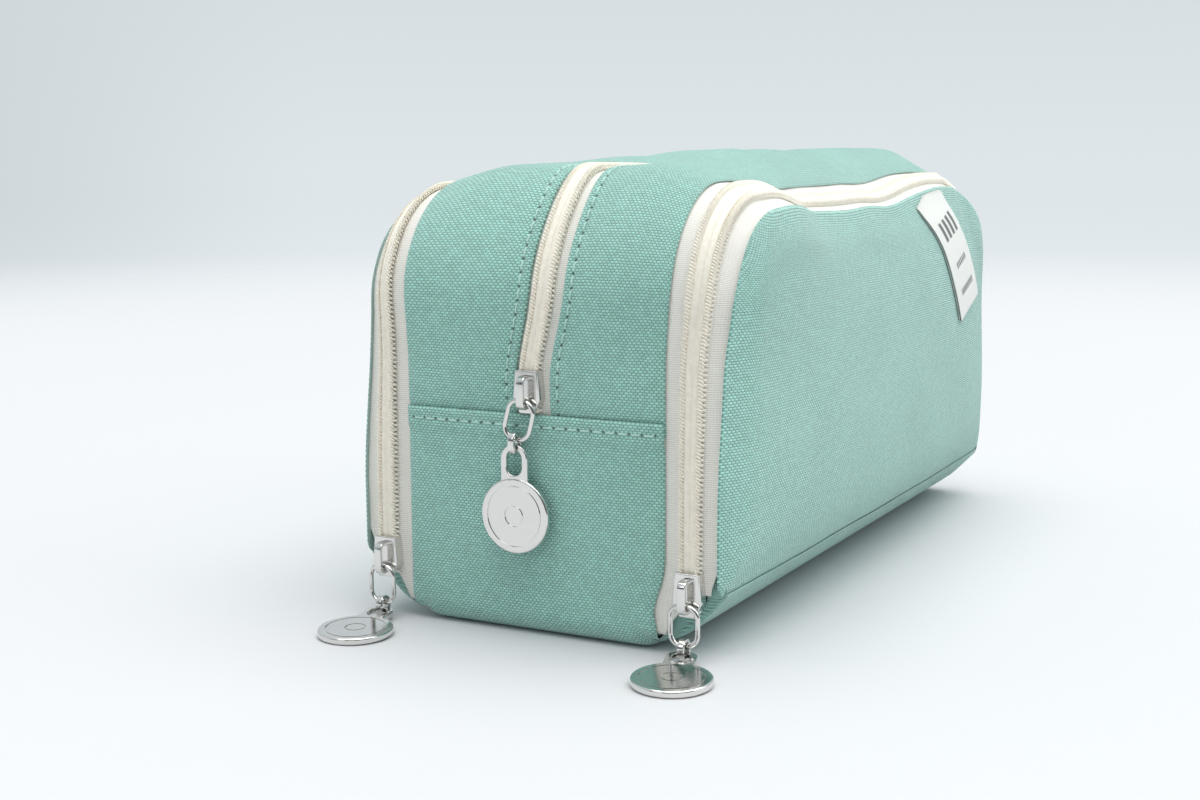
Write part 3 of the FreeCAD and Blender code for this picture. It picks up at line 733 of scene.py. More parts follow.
class CASE_OT_base(bpy.types.Operator):
    """Base panel of canvas with its folded, topstitched hems, and its lining"""
    bl_idname = "pencil_case.base"
    bl_label = "Base panel"

    def execute(self, context):
        self.build_canvas()
        self.build_lining()
        return {"FINISHED"}

    def build_canvas(self):
        """Canvas and foam: flat below, slightly puffed on the ends, doubled over at the hems."""
        size = sizes()
        high = height_to_s(SEAM_HEIGHT)
        hem = 4.5 * MM
        hem_rows = 8 * MM
        border = 1.6 * MM
        fine = np.arange(high - hem_rows, high - border, 0.7 * MM)
        edge = high - border * np.cos(np.linspace(0, math.pi / 2, 7))
        half = np.concatenate([np.linspace(0, high - hem_rows, 150)[1:-1], fine, edge])
        s = np.concatenate([-half[::-1], [0.0], half])
        t = spread(-FACE_HALF, FACE_HALF, 0.75 * MM)
        reach = np.abs(s)[:, None]
        wide = np.abs(t)[None, :]
        along = np.broadcast_to(t[None, :] / size.stitch_pitch, (len(s), len(t)))
        across = np.broadcast_to(reach - (high - SEAM_STITCH), along.shape)
        on_end = ease(KNOTS[2] + 4 * MM, KNOTS[2] + 24 * MM, reach)
        folded = ease(high - hem - 0.9 * MM, high - hem + 0.3 * MM, reach)
        puff = 0.6 * size.strip_puff * on_end * (1 - (wide / FACE_HALF) ** 4) * (1 - folded)
        stand = 0.95 * MM * (1 - 0.55 * (wide / FACE_HALF) ** 10)
        top = puff + stand * folded - stitch_dent(along, across)
        top = top + 0.12 * MM * on_end * ripple(reach, t[None, :], 0.022, 3)
        under = -CANVAS_THICK + 0.6 * MM * folded + 0 * top
        gap = np.minimum((high - reach) / (1.0 * MM), (FACE_HALF - wide) / (1.8 * MM))
        panel = build_panel("base_panel", s, t, top, under, edge_rise(gap, 1.0),
                            np.zeros(len(s), bool), [canvas_material()],
                            np.stack([along, across], -1))
        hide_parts("base_canvas", "base_foam")
        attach(panel, "case")

    def build_lining(self):
        """Lining over the base and up both ends, a little inside the canvas."""
        high = height_to_s(SEAM_HEIGHT - 2 * MM)
        s = spread(-high, high, 2 * MM)
        t = spread(-LINING_HALF, LINING_HALF, 2 * MM)
        shape = np.zeros((len(s), len(t)))
        gap = np.minimum((high - np.abs(s))[:, None], (LINING_HALF - np.abs(t))[None, :])
        lining = build_panel("base_lining_cloth", s, t, shape - 2.4 * MM, shape - 3.0 * MM,
                             edge_rise(gap, 0.4 * MM), np.zeros(len(s), bool), [lining_material()])
        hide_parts("base_lining")
        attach(lining, "case")


class CASE_OT_strips(bpy.types.Operator):
    """Padded canvas strips on both sides of the centre zip, from hem to hem over the top"""
    bl_idname = "pencil_case.strips"
    bl_label = "Centre strips"

    def execute(self, context):
        size = sizes()
        low = height_to_s(SEAM_HEIGHT) - 3 * MM
        for end_name, end in ENDS.items():
            s = half_run(end, low, 0.75 * MM)
            gap_s, closed = half_gap(s, low)
            for side_name, side in SIDES.items():
                fold = fold_edge(side)
                wide = spread(fold, FACE_HALF, 0.55 * MM)
                t = wide if side > 0 else -wide[::-1]
                wide = np.abs(t)[None, :]
                run = (wide - fold) / (FACE_HALF - fold)
                along = np.broadcast_to((cloth_grid(s, 0)[:, 0] / size.stitch_pitch)[:, None],
                                        (len(s), len(t)))
                across = np.broadcast_to(wide - fold - size.stitch_inset, along.shape)
                free = ease(1 * MM, 9 * MM, gap_s)[:, None]
                puff = size.strip_puff * np.sin(math.pi * np.clip(run, 0, 1) ** 0.8)
                lip = 0.25 * MM * np.exp(-((wide - fold - 0.9 * MM) / (1.1 * MM)) ** 2)
                top = free * (puff + lip) - 0.5 * MM * (1 - ease(2 * MM, 5 * MM, gap_s))[:, None]
                top = top - free * stitch_dent(along, across)
                top = top + 0.15 * MM * free * ripple(np.abs(s)[:, None], t[None, :], 0.026, 4)
                pad = ease(10.4 * MM, 12.5 * MM, wide) * (1 - ease(27.5 * MM, 28.9 * MM, wide))
                under = -CANVAS_THICK - 2.0 * MM * pad - 0.3 * MM * (1 - free) + 0 * top
                rim = np.minimum(edge_rise(gap_s, 0.5 * MM)[:, None],
                                 np.minimum(edge_rise(wide - fold, 0.65 * MM),
                                            edge_rise(FACE_HALF - wide, 2.2 * MM)))
                strip = build_panel(f"{end_name}_{side_name}_strip_panel", s, t, top, under, rim,
                                    closed, [canvas_material(), lining_material()],
                                    np.stack([along, across], -1))
                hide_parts(f"{end_name}_{side_name}_strip", f"{end_name}_strip_foam",
                            f"{end_name}_strip_lining", f"{side_name}_lip_strip",
                            f"{side_name}_lip_foam", f"{side_name}_lip_lining")
                bend_open(strip, side_name, end)
        return {"FINISHED"}


def bend_open(piece, side_name, end):
    """Bakes the placement of a piece of one half of the centre's mouth into its mesh."""
    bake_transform(piece)


# ---- zips ----------------------------------------------------------------------------------------
def coil_lines(s_from, s_to, centre, side, pitch):
    """Line of a flattened spiral beside a zip's centre line: across it runs as a cosine and out of
    it as a sine, with one turn a pitch; the other half of the zip is half a turn behind."""
    turns = (s_to - s_from) / pitch
    angle = np.linspace(0, 2 * math.pi * turns, int(turns * 9))
    s = s_from + pitch * angle / (2 * math.pi) + (0 if side > 0 else pitch / 2)
    across = centre + side * (1.22 * MM + 1.30 * MM * np.cos(angle))
    out = 0.02 * MM + 0.42 * MM * np.sin(angle)
    line = np.stack([s, across, out], -1)[None]
    radial = np.stack([0 * s, side * np.cos(angle), np.sin(angle)], -1)[None]
    ahead = np.broadcast_to([1.0, 0.0, 0.0], line.shape)
    return line, radial, ahead


def strand_lines(s_from, s_to, centre, side, pitch):
    """Two sewing threads twisted round each other along the outer edge of the coil, and the smooth
    flat cord over its teeth.  Each thread's places across and out are sine waves, opposite for the
    two; the cord's section is stretched across."""
    twist = 1.45 * pitch
    turns = (s_to - s_from) / twist
    angle = np.linspace(0, 2 * math.pi * turns, int(turns * 10))
    s = s_from + twist * angle / (2 * math.pi)
    lines = []
    for phase in (0, math.pi):
        swing = 0.30 * MM * np.sin(angle + phase)
        out = 0.60 * MM + 0.27 * MM * np.cos(angle + phase)
        lines.append(np.stack([s, centre + side * 1.84 * MM + swing, out], -1))
    lines.append(np.stack([s, centre + side * 0.76 * MM + 0 * s, 0.36 * MM + 0 * s], -1))
    line = np.stack(lines)
    flat = np.zeros_like(line)
    flat[..., 1] = np.array([1, 1, 2.1])[:, None]
    rise = np.broadcast_to([0.0, 0.0, 1.0], line.shape)
    return line, flat, rise


def build_coil(name, s_from, s_to, centre, way, nodes, place, mapping=wrap):
    """Coil of one half of a zip, and the sewing on it; place rides each of the two pieces."""
    pitch = sizes().coil_pitch
    coil = make_tube(f"{name}_coil_half", *coil_lines(s_from, s_to, centre, way, pitch),
                     0.29 * MM, 5, nylon_material("coil nylon", colours().coil, 0.42), mapping)
    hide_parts(*nodes)
    place(coil)
    strand = make_tube(f"{name}_coil_stitch", *strand_lines(s_from, s_to, centre, way, pitch),
                       0.36 * MM, 6, nylon_material("coil sewing nylon", colours().coil, 0.6),
                       mapping)
    place(strand)


class CASE_OT_center_zip(bpy.types.Operator):
    """Centre zip: two halves of tape, coil and sewing, each split at the middle of the top"""
    bl_idname = "pencil_case.center_zip"
    bl_label = "Centre zip"

    def execute(self, context):
        low = height_to_s(SEAM_HEIGHT + COIL_FOOT)
        for end_name, end in ENDS.items():
            for side_name, side in SIDES.items():
                def place(piece, side_name=side_name, end=end):
                    bend_open(piece, side_name, end)

                name = f"{end_name}_{side_name}_center"
                tape = self.build_tape(name, end, side)
                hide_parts(f"{end_name}_center_tape", f"{side_name}_lip_tape")
                place(tape)
                first, last = (low, MIDDLE) if end > 0 else (-MIDDLE, -low)
                nodes = [f"{end_name}_center_coil", f"{side_name}_lip_coil"]
                build_coil(name, first, last, 0.0, side, nodes, place)
        return {"FINISHED"}

    def build_tape(self, name, end, side):
        """Tape from under the base panel's hem to the middle of the top.  It humps up as a bell
        beside the coil."""
        low = height_to_s(SEAM_HEIGHT) - 10 * MM
        edge = FOLD + 5 * MM
        s = half_run(end, low, 1.5 * MM)
        gap_s, closed = half_gap(s, low)
        wide = spread(TAPE_EDGE, edge, 0.5 * MM, 0.5 * MM)
        t = wide if side > 0 else -wide[::-1]
        wide = np.abs(t)[None, :]
        hump = 0.55 * MM * np.exp(-((wide - TAPE_EDGE) / (2.6 * MM)) ** 2)
        waves = 0.05 * MM * ripple(s[:, None], t[None, :], 0.012, 5)
        top = TAPE_OUT + hump + 0 * s[:, None] + waves
        gap = np.minimum(np.abs(wide - TAPE_EDGE), np.abs(wide - edge))
        rim = np.minimum(edge_rise(gap_s, 0.3 * MM)[:, None], edge_rise(gap, 0.3 * MM))
        return build_panel(f"{name}_tape_half", s, t, top, top - 0.5 * MM, rim, closed,
                           [tape_material()])


def hoop_run(z_from):
    """Unbroken run over the case: s from one end's height to the other's, measured onwards past the
    middle of the top."""
    low = height_to_s(z_from)
    return low, 2 * MIDDLE - low


def wrap_over(s, t, n):
    """wrap for a run that goes on past the middle of the top, onto the +X half."""
    s = np.asarray(s)
    return wrap(np.where(s > MIDDLE, s - 2 * MIDDLE, s), t, n)


class CASE_OT_side_zips(bpy.types.Operator):
    """Side zips: case-side and flap-side tape, coil and sewing over the whole arch"""
    bl_idname = "pencil_case.side_zips"
    bl_label = "Side zips"

    def execute(self, context):
        coil_low = 12.9 * MM
        for side_name, side in SIDES.items():
            for part, way in (("case", -1), ("flap", 1)):
                body = "case" if part == "case" else f"{side_name}_flap"

                def place(piece, body=body):
                    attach(piece, body)

                name = f"{side_name}_{part}"
                tape = self.build_tape(name, part, side, way)
                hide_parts(f"{name}_tape")
                place(tape)
                first, last = hoop_run(max(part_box(f"{name}_coil")[0].z, coil_low))
                build_coil(name, first, last, side * SIDE_ZIP, way * side, [f"{name}_coil"], place,
                           wrap_over)
        return {"FINISHED"}

    def build_tape(self, name, part, side, way):
        """Tape from one low end over the top to the other.  It swells as a bell towards the coil.
        The case's half narrows at its low ends from the coil's edge, the flap's from its seam."""
        near = SIDE_ZIP + way * TAPE_EDGE
        first, last = hoop_run(3.5 * MM if part == "case" else 13.6 * MM)
        s = spread(first, last, 1.5 * MM)
        ends = np.minimum(s - first, last - s)
        above = ends[:, None]
        if part == "case":
            edge = FACE_HALF - 2.8 * MM
            near = near - 3.6 * MM * (1 - ease(0, 10 * MM, above))
            inner, outer = edge + 0 * above, near
        else:
            edge = FLAP_SEAM + 0.6 * MM - 2.4 * MM * (1 - ease(0, 9 * MM, above))
            inner, outer = near + 0 * above, edge
        breadth = 7.0 * MM
        share = spread(0.0, breadth, 0.5 * MM, 0.5 * MM) / breadth
        wide = inner + (outer - inner) * share[None, :]
        t = (side * wide)[:, ::side]
        wide = np.abs(t)
        ridge = 0.62 * MM * np.exp(-(np.abs(wide - SIDE_ZIP) / (3.4 * MM)) ** 2)
        top = TAPE_OUT + ridge + 0.10 * MM * ripple(s[:, None], t, 0.016, 6)
        gap = np.minimum(np.abs(wide - near), np.abs(wide - edge))
        rim = np.minimum(edge_rise(ends, 0.3 * MM)[:, None], edge_rise(gap, 0.3 * MM))
        half = 0.25 * MM
        middle = top - half
        grid_s, grid_t = np.broadcast_arrays(s[:, None], t)
        return make_panel(f"{name}_tape_half", wrap_over(grid_s, grid_t, middle + half * rim),
                          wrap_over(grid_s, grid_t, middle - half * rim),
                          np.stack([grid_s, grid_t], -1), [tape_material()])


# ---- flaps, walls and floors ---------------------------------------------------------------------
def plate_grid(low, low_radius, offset=0.0, columns=110):
    """X and Z of a grid that fills the case's outline above low: each row is as wide as the outline
    at its height, rows crowd towards top and bottom as a sine does in the corner arcs, and columns
    crowd towards both ends."""
    half = HALF_LENGTH + offset
    top = HEIGHT + offset
    radius = TOP_RADIUS + offset
    turn = np.linspace(0, math.pi / 2, 22)
    shoulder = top - radius + radius * np.sin(turn)
    foot = low + low_radius - low_radius * np.sin(turn[::-3])
    middle = np.linspace(low + low_radius, top - radius, 30)
    z = np.concatenate([foot, middle[1:-1], shoulder])
    above = np.clip(z - (top - radius), 0, radius)
    below = np.clip(low + low_radius - z, 0, low_radius)
    width = half - radius + np.sqrt(np.maximum(radius ** 2 - above ** 2, 0))
    low_width = half - low_radius + np.sqrt(np.maximum(low_radius ** 2 - below ** 2, 0))
    width = np.where(below > 0, low_width, width)
    share = np.sin(np.linspace(-math.pi / 2, math.pi / 2, columns))
    share = 0.55 * share + 0.45 * np.sin(share * math.pi / 2)
    x = width[:, None] * share[None, :]
    return x, np.broadcast_to(z[:, None], x.shape), half, top, radius


def plate_gap(x, z, half, top, radius, low, low_radius):
    """Distance inwards from a plate's rounded outline: the usual rounded-box distance, with one
    corner radius above the plate's middle height and another below it."""
    centre = (top + low) / 2
    bend = np.where(z > centre, radius, low_radius)
    across = np.abs(x) - half + bend
    upward = np.abs(z - centre) - (top - low) / 2 + bend
    inside = np.minimum(np.maximum(across, upward), 0)
    outside = np.hypot(np.maximum(across, 0), np.maximum(upward, 0))
    return np.maximum(bend - inside - outside, 0)


def flap_face(x, z, gap):
    """How far out a flap's canvas lies before it settles: a short upright fold at the seam, then a
    parabola that levels off over the padded edge, with small puckers near the seam."""
    share = np.clip(gap / (12.5 * MM), 0, 1)
    fold = 0.35 * MM * edge_rise(gap, 0.5 * MM)
    pucker = 0.16 * MM * np.exp(-gap / (5 * MM)) * ripple(x, z, 0.009, 8) * ease(0, 1.5 * MM, gap)
    return FLAP_SEAM + fold + (FLAP_FACE - FLAP_SEAM - 0.35 * MM) * share * (2 - share) + pucker


def no_stitches(shape):
    """Stitch coordinates of a grid with no topstitching: everywhere a metre from the line."""
    return np.broadcast_to([0.5, 1.0], shape + (2,))


class CASE_OT_flaps(bpy.types.Operator):
    """Padded side flaps: canvas outside, lining inside"""
    bl_idname = "pencil_case.flaps"
    bl_label = "Side flaps"

    def execute(self, context):
        low = FLAP_LOW.z
        for side_name, side in SIDES.items():
            x, z, half, top, radius = plate_grid(low, FLAP_CORNER)
            gap = plate_gap(x, z, half, top, radius, low, FLAP_CORNER)
            outer = settle(x, side * flap_face(x, z, gap), z)
            seam = FLAP_SEAM + 0.02 * MM - 0.25 * MM * edge_rise(gap, 2 * MM)
            inner = settle(x, side * seam, z)
            border = gap <= 0
            inner[border] = outer[border]
            flap = make_panel(f"{side_name}_flap_pad", outer, inner, np.stack([z, x], -1),
                              [canvas_material(), lining_material()], no_stitches(x.shape))
            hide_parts(f"{side_name}_flap_canvas", f"{side_name}_flap_foam",
                        f"{side_name}_flap_lining")
            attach(flap, f"{side_name}_flap")
        return {"FINISHED"}


class CASE_OT_walls(bpy.types.Operator):
    """Lining walls between the centre and the side compartments"""
    bl_idname = "pencil_case.walls"
    bl_label = "Partitions"

    def execute(self, context):
        for side_name, side in SIDES.items():
            wall_low, wall_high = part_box(f"{side_name}_partition")
            low = wall_low.z
            radius_low = BASE_RADIUS + TAPE_IN
            x, z, half, top, radius = plate_grid(low, radius_low, offset=TAPE_IN - 0.1 * MM,
                                                 columns=60)
            gap = plate_gap(x, z, half, top, radius, low, radius_low)
            rim = edge_rise(gap, 0.3 * MM)
            middle = (wall_low.y + wall_high.y) / 2
            sheets = [settle(x, middle + way * 0.3 * MM * rim, z) for way in (side, -side)]
            wall = make_panel(f"{side_name}_wall", *sheets, np.stack([z, x], -1),
                              [lining_material()])
            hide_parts(f"{side_name}_partition")
            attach(wall, "case")
        return {"FINISHED"}


class CASE_OT_side_floors(bpy.types.Operator):
    """Slanted canvas floors of the side compartments, from the base's side edge out to the flaps'
    seam, which turn up into a short wall at both ends"""
    bl_idname = "pencil_case.side_floors"
    bl_label = "Side floors"

    def execute(self, context):
        reach = HALF_LENGTH - 2.1 * MM
        bend = 0.8 * MM
        floor_x = spread(bend - reach, reach - bend, 2 * MM)
        climb = np.linspace(0.2, 1, 5)
        wall = reach - bend + bend * np.sqrt(climb)
        x = np.concatenate([-wall[::-1], floor_x, wall])[:, None]
        climb = np.concatenate([climb[::-1], 0 * floor_x, climb])[:, None]
        v = np.linspace(0, 1, 25)[None, :]
        y = FACE_HALF - 0.6 * MM + (FLAP_SEAM + 1.6 * MM - FACE_HALF) * v
        z = 0.9 * MM + (FLAP_LOW.z - 0.2 * MM) * v ** 1.15
        z = z + climb * ease(0.05, 0.45, v) * (FLAP_LOW.z + 4.2 * MM - z)
        slope = math.atan2(FLAP_LOW.z, FLAP_SEAM - FACE_HALF)
        rim = edge_rise(np.minimum((1 - climb) * 4, np.minimum(v, 1 - v) * 20), 1.0)
        coords = np.stack(np.broadcast_arrays(v * 18 * MM + climb * 12 * MM, x), -1)
        for side_name, side in SIDES.items():
            sheets = []
            for way in (1, -1):
                out = way * 0.5 * MM * rim
                sheets.append(settle(x + 0 * v, side * (y + out * math.sin(slope)),
                                     z - out * math.cos(slope)))
            gusset = make_panel(f"{side_name}_gusset", *sheets, coords,
                                [canvas_material(), lining_material()], no_stitches(rim.shape))
            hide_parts(f"{side_name}_side_floor")
            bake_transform(gusset)
        return {"FINISHED"}


# ---- label and topstitching ----------------------------------------------------------------------
class CASE_OT_label(bpy.types.Operator):
    """Cotton label folded in two, caught in the right flap's top seam: a sheet along a path that
    runs down, turns back in a half circle at the foot and runs up again"""
    bl_idname = "pencil_case.label"
    bl_label = "Woven label"

    def execute(self, context):
        size = sizes()
        width, length, slant = size.label_width, size.label_length, size.label_slant
        foot_x, foot_z = 64.0 * MM, 61.2 * MM
        u = spread(-width / 2, width / 2, 0.8 * MM, 0.5 * MM)
        turn = np.linspace(0, math.pi, 7)[1:-1]
        down = np.linspace(length, 0, 50)
        path = np.concatenate([down, -0.3 * MM * np.sin(turn), down[::-1]])
        lift = np.concatenate([0.62 * MM + 0 * down, 0.35 * MM + 0.27 * MM * np.cos(turn),
                               0.08 * MM + 0 * down])
        run = np.concatenate([[0], np.cumsum(np.hypot(np.diff(path), np.diff(lift)))])
        rise = path[:, None] + 0 * u[None, :]
        x = foot_x + u[None, :] * math.cos(slant) - rise * math.sin(slant)
        z = foot_z + u[None, :] * math.sin(slant) * 0.6 + rise * math.cos(slant)
        out_way = np.concatenate([1 + 0 * down, np.cos(turn), 0 * down - 1])
        down_way = np.concatenate([0 * down, -np.sin(turn), 0 * down])
        rim = np.minimum(edge_rise(np.minimum(run, run[-1] - run), 0.2 * MM)[:, None],
                         edge_rise(width / 2 - np.abs(u), 0.2 * MM)[None, :])
        sheets = []
        for way in (1, -1):
            thick = way * 0.11 * MM * rim
            reach = np.minimum(z + thick * down_way[:, None], HEIGHT - 0.5 * MM)
            gap = plate_gap(x, reach, HALF_LENGTH, HEIGHT, TOP_RADIUS, FLAP_LOW.z, FLAP_CORNER)
            y = flap_face(x, reach, gap) + 0.22 * MM + lift[:, None] + thick * out_way[:, None]
            sheets.append(settle(x, -y, reach))
        coords = np.stack(np.broadcast_arrays(rise, width / 2 + u[None, :]), -1)
        label = make_panel("cotton_label", *sheets, coords, [label_material()])
        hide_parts("woven_label")
        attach(label, "right_flap")
        return {"FINISHED"}


def stitch_tubes(name, along, place, across, join):
    """Short threads between needle holes, centred at the places along: each is a flat arch, level
    but for a steep quartic fall into the hole at both ends.  place turns (distance along, height)
    into (s, t, n), across is 0 or 1 for a thread's width along s or t, and join rides the piece."""
    pitch = sizes().stitch_pitch
    share = np.linspace(-0.42, 0.42, 9)
    centre = along[:, None] + share[None, :] * pitch
    arch = 0.10 * MM - 0.75 * MM * np.abs(share / 0.42)[None, :] ** 4 + 0 * centre
    side_way = np.zeros(centre.shape + (3,))
    side_way[..., across] = 1
    up_way = np.zeros_like(side_way)
    up_way[..., 2] = 1
    thread = make_tube(name, place(centre, arch), side_way, up_way, 0.19 * MM, 6,
                       nylon_material("topstitch thread", colours().thread, 0.6))
    join(thread)


class CASE_OT_topstitches(bpy.types.Operator):
    """Topstitching beside the centre zip and along both hems"""
    bl_idname = "pencil_case.topstitches"
    bl_label = "Topstitches"

    def execute(self, context):
        for end_name, end in ENDS.items():
            for side_name, side in SIDES.items():
                self.beside_zip(f"{end_name}_{side_name}_zip_stitches", end, side_name, side)
            self.along_hem(f"{end_name}_hem_stitches", end)
        return {"FINISHED"}

    def beside_zip(self, name, end, side_name, side):
        """Line of stitches along a strip's folded edge, from above the hem to the top's middle."""
        size = sizes()
        pitch = size.stitch_pitch
        low = height_to_s(SEAM_HEIGHT) + 2 * MM
        t_line = side * (fold_edge(side) + size.stitch_inset)
        last = math.floor(MIDDLE / pitch)
        if end > 0:
            along = (np.arange(math.ceil(low / pitch), last) + 0.5) * pitch
        else:
            first = math.ceil(2 * MIDDLE / pitch - last)
            last = math.floor((2 * MIDDLE - low) / pitch)
            along = (np.arange(first, last) + 0.5) * pitch - 2 * MIDDLE

        def place(centre, arch):
            return np.stack([centre, t_line + 0 * centre, arch + 0.44 * MM], -1)

        stitch_tubes(name, along, place, 1, lambda piece: bend_open(piece, side_name, end))

    def along_hem(self, name, end):
        """Line of stitches below the upper edge of the base panel."""
        pitch = sizes().stitch_pitch
        line_s = end * (height_to_s(SEAM_HEIGHT) - SEAM_STITCH)
        count = math.floor((FACE_HALF - 1 * MM) / pitch)

        def place(centre, arch):
            return np.stack([line_s + 0 * centre, centre, arch + 0.80 * MM], -1)

        stitch_tubes(name, (np.arange(-count, count) + 0.5) * pitch, place, 0,
                     lambda piece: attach(piece, "case"))


# ---- metal ---------------------------------------------------------------------------------------
def weld(mesh):
    """Joins a copied mesh's loose triangles where their corners meet and shades it smooth between
    its sharp edges."""
    work = bmesh.new()
    work.from_mesh(mesh)
    bmesh.ops.remove_doubles(work, verts=work.verts, dist=0.002 * MM)
    work.to_mesh(mesh)
    work.free()
    for name in ("custom_normal", "sharp_face", "sharp_edge"):
        if name in mesh.attributes:
            mesh.attributes.remove(mesh.attributes[name])
    mesh.polygons.foreach_set("use_smooth", np.ones(len(mesh.polygons), bool))
    mesh.update()
    mesh.set_sharp_from_angle(angle=math.radians(32))


class CASE_OT_pulls(bpy.types.Operator):
    """Plated sliders, links, rings and tags"""
    bl_idname = "pencil_case.pulls"
    bl_label = "Sliders and pulls"

    def execute(self, context):
        for name in ("right", "left", "center"):
            for node, body in (("slider_body", "slider"), ("slider_crown", "slider"),
                               ("pull_link", "link"), ("pull_connector", "connector"),
                               ("pull_tag", "tag")):
                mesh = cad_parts[f"{name}_{node}"].data.copy()
                mesh.materials.clear()
                mesh.materials.append(nickel_material())
                weld(mesh)
                piece = bpy.data.objects.new(f"{name}_{node}_plated", mesh)
                bpy.context.scene.collection.objects.link(piece)
                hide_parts(f"{name}_{node}")
                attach(piece, f"{name}_{body}")
        return {"FINISHED"}


# ---- stage ---------------------------------------------------------------------------------------
def floor_material():
    """Matt paper-like sheet that fades into the surround far from the case."""
    material, tree, shader = start_material("floor_sheet")
    base = studio().floor
    place = add(tree, "ShaderNodeTexCoord").outputs["Object"]
    grain = blend_colour(tree, noise(tree, place, 40.0, 3.0), rgba(base, 0.995), rgba(base, 1.0))
    tree.links.new(grain, shader.inputs["Base Color"])
    away = add(tree, "ShaderNodeVectorMath", {0: place}, operation="LENGTH").outputs["Value"]
    tree.links.new(span(tree, away, 0.55, 1.7, 1.0, 0.0, kind="SMOOTHSTEP"),
                   shader.inputs["Alpha"])
    shader.inputs["Roughness"].default_value = 0.6
    shader.inputs["Specular IOR Level"].default_value = 0.2
    return material


def surround():
    """Room of soft light: pale at the horizon, a little darker above it and on one side, with a fan
    of dark cards behind the camera for the metal to reflect."""
    world = bpy.data.worlds.new("studio_surround")
    world.use_nodes = True
    tree = world.node_tree
    tree.nodes.clear()
    sky = studio().sky
    way = add(tree, "ShaderNodeTexCoord").outputs["Generated"]
    part = add(tree, "ShaderNodeSeparateXYZ", {0: way}).outputs
    low = span(tree, part["Z"], -0.14, -0.01, kind="SMOOTHSTEP")
    tint = blend_colour(tree, low, rgba(studio().horizon), rgba(sky))
    tint = blend_colour(tree, span(tree, part["Z"], 0.0, 0.12), tint, rgba(sky, 0.92))
    aside = span(tree, part["Y"], 0.60, 0.78, kind="SMOOTHSTEP")
    tint = blend_colour(tree, calc(tree, "MULTIPLY", aside, low), tint, rgba(sky, 0.86))
    behind = calc(tree, "ADD", calc(tree, "MULTIPLY", part["X"], -0.88),
                  calc(tree, "MULTIPLY", part["Y"], -0.47))
    dark = calc(tree, "MULTIPLY", span(tree, behind, 0.1, 0.6), span(tree, part["Z"], 0.8, 0.4))
    angle = calc(tree, "ARCTAN2", part["Y"], part["X"])
    wave = calc(tree, "SINE", calc(tree, "MULTIPLY", angle, 11.0))
    cards = blend_colour(tree, span(tree, wave, -0.1, 0.5), rgba(sky, 0.01), rgba(sky, 0.36))
    tint = blend_colour(tree, dark, tint, cards)
    back = add(tree, "ShaderNodeBackground", {"Color": tint, "Strength": 1.0})
    tree.links.new(back.outputs[0], add(tree, "ShaderNodeOutputWorld").inputs[0])
    return world


def turned(way, axis):
    """Matrix that turns an object's own axis, Z or -Z, to the given way."""
    return way.to_track_quat(axis, "Y").to_matrix().to_4x4()


def soft_light(name, place, target, size, power, colour):
    """Area light at place that faces target."""
    data = bpy.data.lights.new(name, "AREA")
    data.shape = "RECTANGLE"
    data.size, data.size_y = size
    data.energy = power
    data.color = colour
    light = bpy.data.objects.new(name, data)
    ahead = Vector(target) - Vector(place)
    light.matrix_world = Matrix.Translation(place) @ turned(ahead, "-Z")
    bpy.context.scene.collection.objects.link(light)


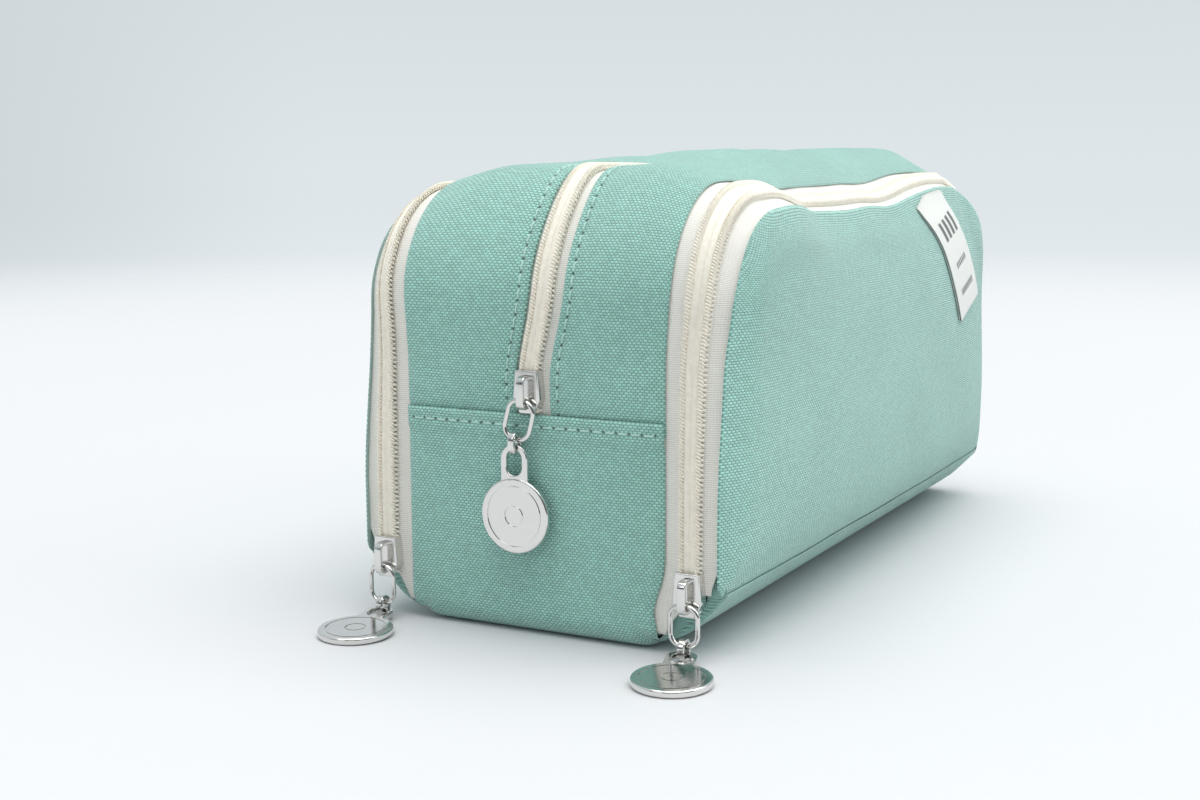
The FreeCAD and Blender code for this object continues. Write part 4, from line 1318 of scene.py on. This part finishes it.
class CASE_OT_studio(bpy.types.Operator):
    """Pale floor that fades out into the surround, soft lights and the camera"""
    bl_idname = "pencil_case.studio"
    bl_label = "Studio"

    def execute(self, context):
        self.lay_floor()
        self.set_lights()
        self.set_camera()
        context.scene.view_settings.view_transform = "Standard"
        return {"FINISHED"}

    def lay_floor(self):
        """Flat disc: rings whose radius grows as a power of their number, closed at the middle."""
        reach = np.linspace(0, 1, 60)[:, None]
        angle = np.linspace(0, 2 * math.pi, 97)[None, :]
        radius = 4.0 * reach ** 1.5
        x, y = radius * np.cos(angle), radius * np.sin(angle)
        points = np.stack([x, y, 0 * x], -1)
        index = np.arange(x.size).reshape(x.shape)
        index[:, -1] = index[:, 0]
        rings = quads(index)[angle.size - 1:].tolist()
        mesh = bpy.data.meshes.new("floor_sheet")
        mesh.from_pydata(points.reshape(-1, 3).tolist(), [], rings + [index[1, :-1].tolist()])
        mesh.polygons.foreach_set("use_smooth", np.ones(len(mesh.polygons), bool))
        mesh.materials.append(floor_material())
        floor = bpy.data.objects.new("floor_sheet", mesh)
        bpy.context.scene.collection.objects.link(floor)

    def set_lights(self):
        """Soft room, a broad key light from above and two faint area lights."""
        settings = studio()
        scene = bpy.context.scene
        scene.world = surround()
        sun = bpy.data.lights.new("key", "SUN")
        sun.energy = settings.key_strength
        sun.angle = math.radians(70)
        sun.color = (1.0, 0.985, 0.96)
        key = bpy.data.objects.new("key", sun)
        key.matrix_world = turned(Vector((0.06, -0.14, 1.0)), "Z")
        scene.collection.objects.link(key)
        for name, place, size, power, colour in (
                ("side", (0.35, -1.15, 0.75), (1.0, 0.7), settings.side_power, (0.97, 0.985, 1.0)),
                ("front", (-1.1, 0.25, 0.6), (0.5, 0.5), settings.front_power, (0.96, 0.98, 1.0))):
            soft_light(name, place, (0, 0, 0.04), size, power, colour)

    def set_camera(self):
        """Camera at the front right, a little above the case and turned down to it."""
        data = bpy.data.cameras.new("camera")
        data.lens = studio().lens
        data.sensor_width = 36
        data.clip_start = 0.01
        data.clip_end = 50
        eye = (-0.3925, -0.1728, 0.1009)
        yaw, pitch, roll = (math.radians(angle) for angle in (28.06, 8.21, -0.285))
        ahead = Vector((math.cos(pitch) * math.cos(yaw), math.cos(pitch) * math.sin(yaw),
                        -math.sin(pitch)))
        level = Vector((math.sin(yaw), -math.cos(yaw), 0))
        upright = level.cross(ahead)
        right = level * math.cos(roll) + upright * math.sin(roll)
        up = upright * math.cos(roll) - level * math.sin(roll)
        axes = Matrix((right, up, -ahead)).transposed().to_4x4()
        camera = bpy.data.objects.new("camera", data)
        camera.matrix_world = Matrix.Translation(eye) @ axes
        bpy.context.scene.collection.objects.link(camera)
        bpy.context.scene.camera = camera


class CASE_PT_pieces(bpy.types.Panel):
    """Lists the case's pieces, sizes and colours"""
    bl_idname = "CASE_PT_pieces"
    bl_label = "Pencil case"
    bl_space_type = "VIEW_3D"
    bl_region_type = "UI"
    bl_category = "Pencil case"

    def draw(self, context):
        scene = context.scene
        for operator in OPERATORS:
            self.layout.operator(operator.bl_idname)
        for settings in (scene.case_sizes, scene.case_colours, scene.case_studio):
            box = self.layout.box()
            for name in settings.__annotations__:
                box.prop(settings, name)


OPERATORS = (CASE_OT_base, CASE_OT_strips, CASE_OT_center_zip, CASE_OT_side_zips, CASE_OT_flaps,
             CASE_OT_walls, CASE_OT_side_floors, CASE_OT_label, CASE_OT_topstitches, CASE_OT_pulls,
             CASE_OT_studio)
GROUPS = {"case_sizes": CaseSizes, "case_colours": CaseColours, "case_studio": StudioSettings}


def register():
    """Adds the settings, operators and panel to Blender."""
    for made in (*GROUPS.values(), *OPERATORS, CASE_PT_pieces):
        bpy.utils.register_class(made)
    for name, group in GROUPS.items():
        setattr(bpy.types.Scene, name, PointerProperty(type=group))


def unregister():
    """Takes them out again."""
    for name in GROUPS:
        delattr(bpy.types.Scene, name)
    for made in (CASE_PT_pieces, *reversed(OPERATORS), *GROUPS.values()):
        bpy.utils.unregister_class(made)


def main():
    """Builds every piece in order."""
    register()
    for operator in OPERATORS:
        family, name = operator.bl_idname.split(".")
        getattr(getattr(bpy.ops, family), name)()
    bpy.context.view_layer.update()


if __name__ == "__main__":
    main()
